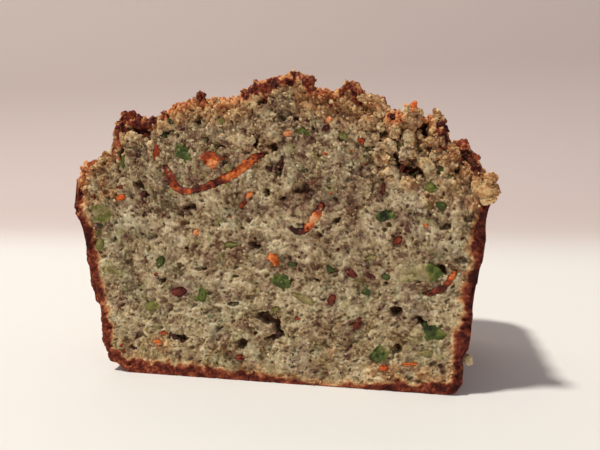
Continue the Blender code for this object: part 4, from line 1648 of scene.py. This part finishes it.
@dataclass
class Vegetables:
    """The vegetable pieces in the cut, and the smaller bits of the same kinds."""

    cut_y: float
    proud: float = 0.12
    depth: float = 2.8
    around: int = 60
    rings: int = 30
    rings_gather: float = 1.7
    flatness: float = 5.0
    swell: float = 0.06
    rough_outline: Noise = Noise(0.18, 1.3, 133)
    chunk_shade: Noise = Noise(0.32, 1.8, 131)
    chunk_rim: Noise = Noise(0.25, 1.3, 139)
    rim_from: float = 0.55
    rim_width: float = 0.35
    chunk_relief: tuple[Noise, Noise] = (Noise(0.42, 1.8, 135), Noise(0.26, 0.8, 137))
    strip_rings: int = 180
    path_steps: int = 400
    pointed: float = 14.0
    boxy: Span = (0.6, 0.8)
    strip_wave: Noise = Noise(0.34, 1.4, 141)
    strip_shade: Noise = Noise(0.30, 1.5, 149)
    dark_edges: float = 0.26
    strip_relief: tuple[Noise, Noise] = (Noise(0.24, 1.3, 145), Noise(0.10, 0.5, 147))
    seed: int = 8
    loose: dict[Kind, int] = field(default_factory=lambda: {
        Kind.CARROT: 26, Kind.PEPPER: 170, Kind.COURGETTE: 110,
    })
    strewn_x: Span = (-54.0, 54.0)
    strewn_z: Span = (3.0, 76.0)
    from_edge: float = 2.6
    pepper_shade: float = 0.34
    bit_stand: Span = (-0.45, 0.1)
    bit_swell: Span = (0.72, 1.28)

    def ball(self, around: int, rings: int) -> tuple[Array, ...]:
        """A ball of rings, read as shares from pole to pole and angles round it.

        Args:
            around: Vertices round a ring.
            rings: Steps from pole to pole.

        Returns:
            The shares, the angles, the quads and the triangles.
        """
        directions, quads, triangles = Template(around, rings).shape()
        share = np.arccos(np.clip(directions[:, 2], -1.0, 1.0)) / math.pi
        return share, np.arctan2(directions[:, 1], directions[:, 0]), quads, triangles

    def chunk(self, chunk: Chunk, index: int) -> Surface:
        """One chunk: a flat-fronted boxy ball with an uneven outline.

        Its rings gather towards the rim, and the depth follows from a ring's radius as in a
        superellipse. The outline is an oval or a rounded box that swells twice and three
        times around, as the solid's does.

        Args:
            chunk: The piece.
            index: Its number, which gives its swells' turns.

        Returns:
            Its closed surface.
        """
        share, angle, quads, triangles = self.ball(self.around, self.rings)
        place, power = chunk.place, chunk.squareness
        cosine, sine = np.cos(angle), np.sin(angle)
        radius = 1.0 - np.abs(1.0 - 2.0 * share) ** self.rings_gather
        front = np.sign(0.5 - share) * (1.0 - radius ** self.flatness) ** (1.0 / self.flatness)
        one, two = np.random.default_rng(index).uniform(0.0, 2.0 * math.pi, 2)
        swells = np.cos(2.0 * angle + one) + np.cos(3.0 * angle + two)
        uneven = 1.0 - self.swell + self.swell * swells
        uneven *= (np.abs(cosine) ** power + np.abs(sine) ** power) ** (-1.0 / power)
        ring = np.column_stack((cosine * place.length, np.full(len(angle), index * 9.0),
                                sine * place.width)) / 2.0
        uneven *= 1.0 + self.rough_outline.at(ring)
        along = cosine * radius * uneven * place.length / 2.0
        x, z = turned(along, sine * radius * uneven * place.width / 2.0, -place.turn)
        half = (self.depth + self.proud) / 2.0
        y = self.cut_y - self.proud + half * (1.0 - front)
        flat = np.column_stack((place.x + x, y, place.z + z))
        start, end = chunk.shades
        where, width = chunk.change
        change = smooth_step((along / place.length + 0.5 - where) / width + 0.5)
        rim = (radius - self.rim_from + self.chunk_rim.at(flat)) / self.rim_width
        shade = start + (end - start) * change + self.chunk_shade.at(flat)
        shade += chunk.rim * smooth_step(rim)
        return self.roughened(flat, quads, triangles, shade, self.chunk_relief)

    def strip(self, strip: Strip) -> Surface:
        """A strip carried along its path, with boxy sides and pointed ends.

        Args:
            strip: The path with its widths and shades.

        Returns:
            Its closed surface.
        """
        share, angle, quads, triangles = self.ball(self.around // 2, self.strip_rings)
        path = strip.path(self.path_steps)
        ahead = np.gradient(path[:, :2], axis=0)
        ahead /= np.linalg.norm(ahead, axis=1)[:, None]
        rows = np.column_stack((path, ahead))
        steps = np.linspace(0.0, 1.0, len(rows))
        x, z, width, shade, ahead_x, ahead_z = (np.interp(share, steps, row) for row in rows.T)
        ends = np.clip(1.0 - np.abs(2.0 * share - 1.0) ** self.pointed, 0.0, 1.0) ** 0.5
        cosine, sine = (
            np.sign(part) * np.abs(part) ** power
            for part, power in zip((np.cos(angle), np.sin(angle)), self.boxy)
        )
        side = np.column_stack((x, 3.0 * np.sign(sine), z))
        over = sine * width * 0.5 * ends * (1.0 + self.strip_wave.at(side))
        half = (self.depth + self.proud) / 2.0
        y = self.cut_y - self.proud + half * (1.0 + cosine * ends)
        flat = np.column_stack((x - ahead_z * over, y, z + ahead_x * over))
        shade = shade + self.strip_shade.at(flat) - self.dark_edges * np.abs(sine) ** 5
        return self.roughened(flat, quads, triangles, shade, self.strip_relief)

    @staticmethod
    def roughened(flat: Array, quads: Array, triangles: Array, shade: Array,
                  layers: tuple[Noise, ...]) -> Surface:
        """Moves a piece's vertices along their normals by layers of noise.

        Args:
            flat: The vertices.
            quads: Four-sided faces.
            triangles: Three-sided faces.
            shade: Shades at the vertices.
            layers: The noise.

        Returns:
            The piece's surface.
        """
        relief = sum(layer.at(flat) for layer in layers)
        points = flat + vertex_normals(flat, quads) * relief[:, None]
        return Surface(points, quads, triangles, {"shade": np.clip(shade, 0.0, 1.0)})

    def bits(self, kind: Kind, form: LoafForm, taken: Places) -> Surface:
        """The small bits of one kind: those with a known place, and strewn shreds.

        Args:
            kind: The kind.
            form: The cake's form.
            taken: Places of larger pieces.

        Returns:
            The bits, joined.
        """
        generator = np.random.default_rng(self.seed + len(kind.value))
        count = self.loose[kind]
        tries = 8 * count
        spots = np.column_stack((
            generator.uniform(*self.strewn_x, tries), generator.uniform(*self.strewn_z, tries),
        ))
        inside = np.minimum(*form.edge_distance(spots[:, 0], spots[:, 1])) > self.from_edge
        for place in taken:
            inside &= place.share(spots[:, 0], spots[:, 1]) < 0.02
        spots = spots[inside][:count]
        length = 0.7 + 1.9 * generator.random(len(spots)) ** 2.2
        width = length * generator.uniform(0.35, 0.9, len(spots))
        turn = generator.normal(30.0, 50.0, len(spots))
        shade = generator.random(len(spots))
        if kind is Kind.PEPPER:
            shade *= self.pepper_shade
        known = np.array([astuple(bit) for bit in BITS[kind]])
        x, z, length, width, turn, shade = np.vstack(
            (known, np.column_stack((spots, length, width, turn, shade)))
        ).T
        radii = np.column_stack((length / 2.0, width / 2.0, 0.55 + 0.12 * width))
        stand = generator.uniform(*self.bit_stand, len(spots))
        stand = np.concatenate((np.full(len(known), self.proud), stand))
        middles = np.column_stack((x, self.cut_y - stand + radii[:, 2], z))
        template = Template(9, 6)
        swell = generator.uniform(*self.bit_swell, (len(x), len(template.shape()[0]), 1))
        return scatter(template, middles, radii, level_frames(turn), {"shade": shade}, swell)


class Value:
    """A number's socket in a finish's nodes: arithmetic on it adds Math nodes."""

    def __init__(self, graph: "Graph", socket: bpy.types.NodeSocket) -> None:
        """Keeps the socket and the graph that it is in."""
        self.graph = graph
        self.socket = socket

    def math(self, operation: str, first: "Value | float", second: "Value | float") -> "Value":
        """The result of one Math node."""
        made = self.graph.add("ShaderNodeMath", {"operation": operation}, {0: first, 1: second})
        return Value(self.graph, made.outputs[0])

    def __add__(self, other: "Value | float") -> "Value":
        """This plus other."""
        return self.math("ADD", self, other)

    def __sub__(self, other: "Value | float") -> "Value":
        """This less other."""
        return self.math("SUBTRACT", self, other)

    def __rsub__(self, other: "Value | float") -> "Value":
        """Other less this."""
        return self.math("SUBTRACT", other, self)

    def __mul__(self, other: "Value | float") -> "Value":
        """This times other."""
        return self.math("MULTIPLY", self, other)

    __radd__ = __add__
    __rmul__ = __mul__

    def between(self, low: float, high: float) -> "Value":
        """Eases from 0 at low to 1 at high."""
        made = self.graph.add(
            "ShaderNodeMapRange", {"interpolation_type": "SMOOTHSTEP"},
            {"Value": self, "From Min": low, "From Max": high},
        )
        return Value(self.graph, made.outputs["Result"])


class Graph:
    """The nodes of one finish, built on a new material."""

    def __init__(self, name: str) -> None:
        """Makes the material with its shader and its Object coordinates."""
        self.material = bpy.data.materials.new(name)
        self.material.use_nodes = True
        self.tree = self.material.node_tree
        self.tree.nodes.clear()
        self.shader = self.add("ShaderNodeBsdfPrincipled", {}, {})
        output = self.add("ShaderNodeOutputMaterial", {}, {"Surface": self.shader.outputs[0]})
        output.is_active_output = True
        self.place = self.add("ShaderNodeTexCoord", {}, {}).outputs["Object"]

    def add(self, kind: str, settings: dict[str, object],
            sockets: dict[str | int, object]) -> bpy.types.Node:
        """Adds a node of any type.

        Args:
            kind: The node's type.
            settings: Its settings, and under "stops" a ramp's stops.
            sockets: Values or links, by the socket's identifier, name or number.

        Returns:
            The node.
        """
        made = self.tree.nodes.new(kind)
        for name, setting in settings.items():
            if name == "stops":
                self.set_stops(made.color_ramp, setting)
            else:
                setattr(made, name, setting)
        by_identifier = {socket.identifier: socket for socket in made.inputs}
        for key, value in sockets.items():
            socket = by_identifier[key] if key in by_identifier else made.inputs[key]
            self.feed(socket, value)
        return made

    def feed(self, socket: bpy.types.NodeSocket, value: object) -> None:
        """Links or sets one socket.

        Args:
            socket: The socket.
            value: A Value, a socket, a number or a colour.
        """
        if isinstance(value, Value):
            value = value.socket
        if isinstance(value, bpy.types.NodeSocket):
            self.tree.links.new(value, socket)
        elif socket.type == "RGBA":
            socket.default_value = (*value[:3], 1.0)
        else:
            socket.default_value = value

    @staticmethod
    def set_stops(ramp: bpy.types.ColorRamp, stops: Stops) -> None:
        """Gives a colour ramp its stops.

        Args:
            ramp: The ramp.
            stops: Positions and colours, from low to high.
        """
        while len(ramp.elements) < len(stops):
            ramp.elements.new(0.5)
        for element, (position, colour) in zip(ramp.elements, stops):
            element.position = position
            element.color = (*colour, 1.0)

    def attribute(self, name: str) -> Value:
        """A number that the mesh carries at its vertices."""
        made = self.add("ShaderNodeAttribute", {"attribute_name": name}, {})
        return Value(self, made.outputs["Fac"])

    def noise(self, size: float, detail: float = 2.0, stretch: Vector = (1.0, 1.0, 1.0)) -> Value:
        """Noise on the Object coordinates.

        Args:
            size: Size of its largest spots in millimetres.
            detail: Number of finer layers.
            stretch: Scale along each axis.

        Returns:
            The noise, mostly near a half.
        """
        mapping = self.add("ShaderNodeMapping", {}, {"Vector": self.place, "Scale": stretch})
        made = self.add("ShaderNodeTexNoise", {}, {
            "Vector": mapping.outputs["Vector"], "Scale": METRE / size, "Detail": detail,
            "Roughness": 0.6,
        })
        return Value(self, made.outputs["Fac"])

    def cells(self, size: float) -> Value:
        """Distance to the nearest of scattered spots, as a share of their spacing in millimetres."""
        made = self.add("ShaderNodeTexVoronoi", {}, {"Vector": self.place, "Scale": METRE / size})
        return Value(self, made.outputs["Distance"])

    def along(self, axis: str) -> Value:
        """One of the Object coordinates, in metres."""
        made = self.add("ShaderNodeSeparateXYZ", {}, {"Vector": self.place})
        return Value(self, made.outputs[axis])

    def speckle(self, size: float, wobble: float) -> "Speckle":
        """Scattered spots of uneven shape: the coordinates are moved by noise first.

        Args:
            size: Spacing of the spots in millimetres.
            wobble: How far the coordinates move, in millimetres.

        Returns:
            The spots.
        """
        noise = self.add("ShaderNodeTexNoise", {}, {
            "Vector": self.place, "Scale": METRE / (0.6 * size), "Detail": 2.0,
        })
        moved = self.add("ShaderNodeVectorMath", {"operation": "MULTIPLY_ADD"}, {
            0: noise.outputs["Color"], 1: (wobble / METRE,) * 3, 2: self.place,
        })
        made = self.add("ShaderNodeTexVoronoi", {}, {
            "Vector": moved.outputs[0], "Scale": METRE / size,
        })
        parts = self.add("ShaderNodeSeparateColor", {}, {"Color": made.outputs["Color"]})
        return Speckle(Value(self, parts.outputs["Red"]), Value(self, made.outputs["Distance"]))

    def mix(self, share: Value | float, first: object, second: object) -> bpy.types.NodeSocket:
        """Mixes two colours by the share of the second."""
        made = self.add("ShaderNodeMix", {"data_type": "RGBA"}, {
            "Factor_Float": share, "A_Color": first, "B_Color": second,
        })
        return next(socket for socket in made.outputs if socket.identifier == "Result_Color")

    def ramp(self, share: Value, stops: Stops) -> bpy.types.NodeSocket:
        """Colours a number by stops."""
        made = self.add("ShaderNodeValToRGB", {"stops": stops}, {"Fac": share})
        return made.outputs["Color"]

    def bump(self, height: Value, reach: float) -> bpy.types.NodeSocket:
        """The normal, bumped by a height whose 1 stands out by the reach in millimetres."""
        made = self.add("ShaderNodeBump", {}, {
            "Height": height, "Distance": reach / METRE, "Strength": 1.0,
        })
        return made.outputs["Normal"]

    def dress(self, **sockets: object) -> bpy.types.Material:
        """Feeds the shader's sockets, whose names have underscores for spaces here.

        Args:
            sockets: Values or links.

        Returns:
            The finished material.
        """
        for name, value in sockets.items():
            self.feed(self.shader.inputs[name.replace("_", " ")], value)
        return self.material


@dataclass(frozen=True)
class Speckle:
    """Scattered spots: each has a random number, and a way from its middle as a share."""

    number: Value
    way: Value

    def over(self, low: float, high: float, solid: float, end: float) -> Value:
        """The spots numbered over about low to high, solid near the middle and gone at end."""
        return self.number.between(low, high) * (1.0 - self.way.between(solid, end))

    def under(self, low: float, high: float, solid: float, end: float) -> Value:
        """The spots numbered under about low to high, solid near the middle and gone at end."""
        return (1.0 - self.number.between(low, high)) * (1.0 - self.way.between(solid, end))


@dataclass(frozen=True)
class CakeFinish:
    """Crumb, its toasted rim and the baked crust, as one finish led by the mesh's numbers."""

    crumb: Stops = (
        (0.0, (0.15, 0.072, 0.034)), (0.25, (0.34, 0.213, 0.110)), (0.5, (0.50, 0.362, 0.202)),
        (0.75, (0.63, 0.476, 0.276)), (1.0, (0.79, 0.65, 0.41)),
    )
    sage: Stops = (
        (0.0, (0.11, 0.105, 0.042)), (0.4, (0.27, 0.255, 0.128)), (0.7, (0.46, 0.42, 0.248)),
        (1.0, (0.68, 0.61, 0.41)),
    )
    straw: Stops = (
        (0.0, (0.20, 0.095, 0.034)), (0.4, (0.41, 0.27, 0.110)), (0.7, (0.61, 0.45, 0.215)),
        (1.0, (0.81, 0.64, 0.37)),
    )
    plum: Stops = (
        (0.0, (0.065, 0.018, 0.015)), (0.5, (0.20, 0.080, 0.055)), (1.0, (0.45, 0.27, 0.19)),
    )
    mauve: Colour = (0.30, 0.170, 0.125)
    # Dark brown painted shade for hollows and pores.
    hollow_shade_colour: Colour = (0.105, 0.045, 0.020)
    lime: Colour = (0.37, 0.335, 0.115)
    # Pale specks: partly pale crumb, partly painted highlight on lit grain tops.
    flake_and_highlight: Colour = (0.80, 0.68, 0.47)
    golden: Stops = (
        (0.0, (0.19, 0.058, 0.018)), (0.35, (0.41, 0.170, 0.064)), (0.6, (0.64, 0.340, 0.145)),
        (0.8, (0.83, 0.535, 0.25)), (1.0, (0.95, 0.73, 0.43)),
    )
    salmon: Stops = (
        (0.0, (0.19, 0.036, 0.014)), (0.3, (0.44, 0.120, 0.044)), (0.55, (0.72, 0.264, 0.094)),
        (0.8, (0.85, 0.42, 0.165)), (1.0, (0.92, 0.59, 0.30)),
    )
    crust: Stops = (
        (0.0, (0.050, 0.006, 0.004)), (0.3, (0.14, 0.020, 0.010)), (0.55, (0.26, 0.047, 0.019)),
        (0.8, (0.44, 0.118, 0.046)), (1.0, (0.62, 0.26, 0.115)),
    )
    softness: float = 0.25
    soft_reach: float = 0.8

    def material(self) -> bpy.types.Material:
        """Builds the finish.

        Returns:
            The material.
        """
        graph = Graph("crumb_and_crust")
        browning, gold = graph.attribute("browning"), graph.attribute("gold")
        hollow, tint = graph.attribute("hollow"), graph.attribute("tint")
        sage, straw, plum, yellow = (
            graph.attribute(name) for name in ("sage", "straw", "plum", "yellow")
        )
        fine, middle, broad = graph.noise(0.7, 3.0), graph.noise(2.2, 3.0), graph.noise(9.0, 2.0)
        mauve = graph.noise(5.0, 2.0).between(0.52, 0.68)
        specks, flecks = graph.speckle(1.0, 0.5), graph.speckle(2.6, 1.2)
        leaves = graph.speckle(3.4, 1.4)
        baked = (fine - 0.5) * 1.25 + (middle - 0.5) * 1.95 + (specks.number - 0.5) * 0.18

        # Crumb: straw low down, then sage, leafy and mauve, plum spots that are partly painted
        # shade, and pale flakes that are partly painted highlight.
        shade = tint * 0.80 + 0.11 + baked + (broad - 0.5) * 1.0
        crumb = graph.mix(straw * 0.7, graph.ramp(shade, self.crumb), graph.ramp(shade, self.straw))
        green = sage * 0.45 + leaves.over(0.80, 0.86, 0.25, 0.50) * 0.5
        crumb = graph.mix(green, crumb, graph.ramp(shade, self.sage))
        crumb = graph.mix(leaves.under(0.12, 0.16, 0.20, 0.48) * 0.55, crumb, self.lime)
        crumb = graph.mix(mauve * 0.42, crumb, self.mauve)
        stains = graph.speckle(4.4, 2.4).over(0.74, 0.78, 0.15, 0.40)
        purple = plum * 0.75 + flecks.over(0.74, 0.77, 0.18, 0.36) * 0.65 + stains * 0.25
        crumb = graph.mix(purple, crumb, graph.ramp(0.4 + baked * 1.2, self.plum))
        flakes_and_highlights = graph.speckle(1.7, 0.9).over(0.72, 0.76, 0.20, 0.36)
        crumb = graph.mix(flakes_and_highlights * 0.4, crumb, self.flake_and_highlight)

        # Toasting over the crumb, and painted shade in hollows and pores.
        edge = (middle - 0.5) * 1.3 + (fine - 0.5) * 0.8
        toast = 0.56 + baked * 0.8 + (tint - 0.5) * 0.7
        # Salmon where there is no yellow: along the cut's top edge it partly paints the highlight
        # there.
        golden = graph.mix(yellow, graph.ramp(toast, self.salmon), graph.ramp(toast, self.golden))
        toasted = (gold * 1.1 + edge * 0.6).between(0.0, 1.0)
        crumb = graph.mix(hollow * 0.92, graph.mix(toasted, crumb, golden), self.hollow_shade_colour)
        # Painted shade of small pores, with no relief under it.
        pore_shade = graph.speckle(1.25, 0.6).over(0.74, 0.77, 0.16, 0.32)
        crumb = graph.mix(pore_shade * 0.8, crumb, self.hollow_shade_colour)

        # Crust: paler where it turns into crumb.
        inwards = (1.0 - browning) * 0.7 + (broad - 0.5) * 0.8
        crust = graph.ramp(0.40 + baked * 0.95 + (tint - 0.5) * 0.6 + inwards, self.crust)
        browned = (browning + edge).between(0.30, 0.70)
        colour = graph.mix(browned, crumb, crust)
        height = fine + middle * 0.6 - graph.cells(0.9) * 0.5
        return graph.dress(
            Base_Color=colour, Roughness=0.90 - browned * 0.20, Specular_IOR_Level=0.20,
            Normal=graph.bump(height, 0.12), Subsurface_Weight=self.softness,
            Subsurface_Radius=(1.0, 0.6, 0.35), Subsurface_Scale=self.soft_reach / METRE,
        )


@dataclass(frozen=True)
class VegetableFinish:
    """Moist cooked vegetable: its colour runs with the mesh's shade, under a thin wet coat."""

    name: str
    stops: Stops
    roughness: float = 0.5
    coat: float = 0.04
    stuck_crumb: Colour = (0.50, 0.37, 0.21)

    def material(self) -> bpy.types.Material:
        """Builds the finish.

        Returns:
            The material.
        """
        graph = Graph(self.name)
        fine, middle = graph.noise(0.5, 2.0), graph.noise(1.7, 3.0)
        fibre = graph.noise(1.1, 2.0, (1.0, 1.0, 0.35))
        shade = graph.attribute("shade")
        # Painted shade in small pits, with no relief under it.
        pits = graph.speckle(1.6, 0.9).over(0.70, 0.76, 0.15, 0.42)
        crumbs = graph.speckle(1.1, 0.7).over(0.80, 0.85, 0.16, 0.36) * 0.7
        varied = shade + (fine - 0.5) * 0.45 + (middle - 0.5) * 0.50 + (fibre - 0.5) * 0.25
        varied = varied - pits * 0.35
        return graph.dress(
            Base_Color=graph.mix(crumbs, graph.ramp(varied, self.stops), self.stuck_crumb),
            Roughness=self.roughness + fine * 0.2,
            Coat_Weight=self.coat, Coat_Roughness=0.25, Specular_IOR_Level=0.18,
            Normal=graph.bump(fine + middle + fibre, 0.18),
        )


RED_TO_ORANGE = (
    (0.0, (0.045, 0.011, 0.008)), (0.22, (0.16, 0.025, 0.012)), (0.48, (0.42, 0.070, 0.020)),
    (0.66, (0.74, 0.145, 0.026)), (0.82, (0.90, 0.25, 0.058)), (1.0, (0.95, 0.46, 0.22)),
)
GREENS = (
    (0.0, (0.028, 0.030, 0.012)), (0.25, (0.068, 0.090, 0.021)), (0.50, (0.132, 0.162, 0.030)),
    (0.65, (0.20, 0.188, 0.042)), (0.80, (0.27, 0.212, 0.070)), (1.0, (0.47, 0.365, 0.180)),
)
VEGETABLE_FINISHES = {
    Kind.CARROT: VegetableFinish("carrot_flesh", RED_TO_ORANGE),
    Kind.PEPPER: VegetableFinish("pepper_skin", RED_TO_ORANGE, 0.45, 0.1),
    Kind.COURGETTE: VegetableFinish("courgette_flesh", GREENS),
}


@dataclass
class Stage:
    """A pale floor that curves up into a wall, well behind the cake, and turns rosier there."""

    front: float = -3200.0
    bend: float = 260.0
    bend_radius: float = 150.0
    height: float = 1500.0
    half_width: float = 3200.0
    floor_colour: Colour = (0.84, 0.82, 0.765)
    wall_colour: Colour = (0.62, 0.515, 0.475)
    change: Span = (120.0, 330.0)

    def build(self) -> bpy.types.Object:
        """A profile of floor, quarter round and wall, carried across.

        Returns:
            The sheet.
        """
        turn = np.linspace(0.0, math.pi / 2.0, 17)
        y = np.concatenate(((self.front,), self.bend + self.bend_radius * np.sin(turn),
                            (self.bend + self.bend_radius,)))
        z = np.concatenate(((0.0,), self.bend_radius * (1.0 - np.cos(turn)), (self.height,)))
        count = len(y)
        x = np.repeat((-self.half_width, self.half_width), count)
        points = np.column_stack((x, np.tile(y, 2), np.tile(z, 2)))
        row = np.arange(count - 1)
        quads = np.column_stack((row, row + count, row + count + 1, row + 1))
        graph = Graph("pale_floor")
        start, end = (place / METRE for place in self.change)
        away = graph.along("Y").between(start, end)
        dressed = graph.dress(
            Base_Color=graph.mix(away, self.floor_colour, self.wall_colour), Roughness=0.8,
        )
        sheet = Surface(points, quads, np.zeros((0, 3), int))
        return sheet.make_object("pale_sweep", dressed)


@dataclass
class Lights:
    """One window light from the upper left, and pale light from all round."""

    towards: Vector = (-0.32, -0.21, 0.92)
    aim: Vector = (0.0, 0.0, 40.0)
    distance: float = 2200.0
    size: float = 220.0
    power: float = 42.4
    colour: Colour = (1.0, 0.965, 0.91)
    around: Colour = (0.212, 0.232, 0.268)

    def build(self) -> None:
        """Makes the lamp, aimed at the cake, and the world."""
        lamp = bpy.data.lights.new("window_light", "AREA")
        lamp.shape = "DISK"
        lamp.size = self.size / METRE
        lamp.energy = self.power
        lamp.color = self.colour
        made = bpy.data.objects.new("window_light", lamp)
        back = np.array(self.towards) / np.linalg.norm(self.towards)
        right = np.cross((0.0, 0.0, 1.0), back)
        right /= np.linalg.norm(right)
        columns = np.column_stack((right, np.cross(back, right), back))
        made.matrix_world = placed(columns, back * self.distance + self.aim)
        bpy.context.scene.collection.objects.link(made)
        world = bpy.data.worlds.new("pale_room")
        world.use_nodes = True
        world.node_tree.nodes["Background"].inputs["Color"].default_value = (*self.around, 1.0)
        bpy.context.scene.world = world


def placed(columns: Array, middle: Array) -> Matrix:
    """A Blender matrix from three axes and a place in millimetres.

    Args:
        columns: The axes as columns.
        middle: The place.

    Returns:
        The matrix, in metres.
    """
    whole = np.eye(4)
    whole[:3, :3] = columns
    whole[:3, 3] = middle / METRE
    return Matrix(whole.tolist())


@dataclass
class Viewpoint:
    """The camera: close in front of the cut, a little to the right, and rolled a little."""

    place: Vector = (40.1, -164.2, 61.9)
    yaw: float = 13.1
    pitch: float = 7.4
    roll: float = 1.4
    lens: float = 32.64
    sensor: float = 36.0

    def build(self) -> None:
        """Makes the camera and sets it as the scene's camera."""
        yaw, pitch, roll = (math.radians(angle) for angle in (self.yaw, self.pitch, self.roll))
        forward = np.array((
            -math.sin(yaw) * math.cos(pitch), math.cos(yaw) * math.cos(pitch), -math.sin(pitch),
        ))
        level = np.array((math.cos(yaw), math.sin(yaw), 0.0))
        upright = np.cross(level, forward)
        right = math.cos(roll) * level - math.sin(roll) * upright
        up = math.cos(roll) * upright + math.sin(roll) * level
        camera = bpy.data.cameras.new("viewpoint")
        camera.lens = self.lens
        camera.sensor_width = self.sensor
        camera.clip_start = 0.01
        camera.clip_end = 20.0
        made = bpy.data.objects.new("viewpoint", camera)
        made.matrix_world = placed(np.column_stack((right, up, -forward)), np.array(self.place))
        bpy.context.scene.collection.objects.link(made)
        bpy.context.scene.camera = made


def hand_over(piece: bpy.types.Object, slot: str, *nodes: str) -> None:
    """Fixes a finished piece to the body and hides the nodes that it replaces.

    Args:
        piece: The piece.
        slot: The record's material slot; not used.
        nodes: The nodes that it replaces.
    """
    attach(piece, BODY)
    if nodes:
        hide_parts(*nodes)
    log.info("%s: %d faces", piece.name, len(piece.data.polygons))


def main() -> None:
    """Builds the pieces, the stage, the lights and the camera."""
    logging.basicConfig(level=logging.INFO, format="%(message)s")
    cad_box = [list(corner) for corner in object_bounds()]
    low, high = (METRE * np.array(corner) for corner in cad_box)
    form = LoafForm(half_width=high[0], length=high[1] - low[1])
    Viewpoint().build()
    Lights().build()
    Stage().build()

    strips = (
        ("carrot_curl", Kind.CARROT, CARROT_CURL), ("carrot_shred", Kind.CARROT, CARROT_SHRED),
        ("pepper_strip", Kind.PEPPER, PEPPER_STRIP),
    )
    sunk = (*(strip for _, _, strip in strips), *(chunk.place for chunk in CHUNKS),
            *itertools.chain(*BITS.values()))
    cake_finish = CakeFinish().material()
    cake = Cake(form)
    cut, rim = cake.build_cut(sunk)
    crust = cake.build_crust(cut, rim)
    crumbs = Crumbs(furthest=low[1] - CRUMB_STAND)
    lumps = crumbs.lumps(low[1])
    grains = crumbs.on_cut(cut, lumps, sunk)
    knobs = crumbs.on_top(crust, cut, form.shoulder, high[2] + KNOB_HEADROOM)
    grains.smooth = knobs.smooth = False
    baked = (
        ("crumb_face", cut, ("loaf",)), ("crust_body", crust, ("loaf",)),
        ("crumb_grains", grains, ()), ("crust_knobs", knobs, ()),
        ("crumb_lumps", lumps, ()),
    )
    for name, surface, nodes in baked:
        hand_over(surface.make_object(name, cake_finish), "crust_and_crumb", *nodes)

    finishes = {kind: finish.material() for kind, finish in VEGETABLE_FINISHES.items()}
    vegetables = Vegetables(cut_y=low[1])
    for name, kind, strip in strips:
        piece = vegetables.strip(strip).make_object(f"{name}_flesh", finishes[kind])
        hand_over(piece, kind.value, name)
    for index, chunk in enumerate(CHUNKS):
        surface = vegetables.chunk(chunk, index)
        piece = surface.make_object(f"{chunk.node}_flesh", finishes[chunk.kind])
        hand_over(piece, chunk.kind.value, chunk.node)
    for kind in Kind:
        surface = vegetables.bits(kind, form, sunk)
        surface.smooth = False
        hand_over(surface.make_object(f"{kind.value}_bits", finishes[kind]), kind.value)

    bpy.context.scene.view_settings.view_transform = "Standard"


if __name__ == "__main__":
    main()
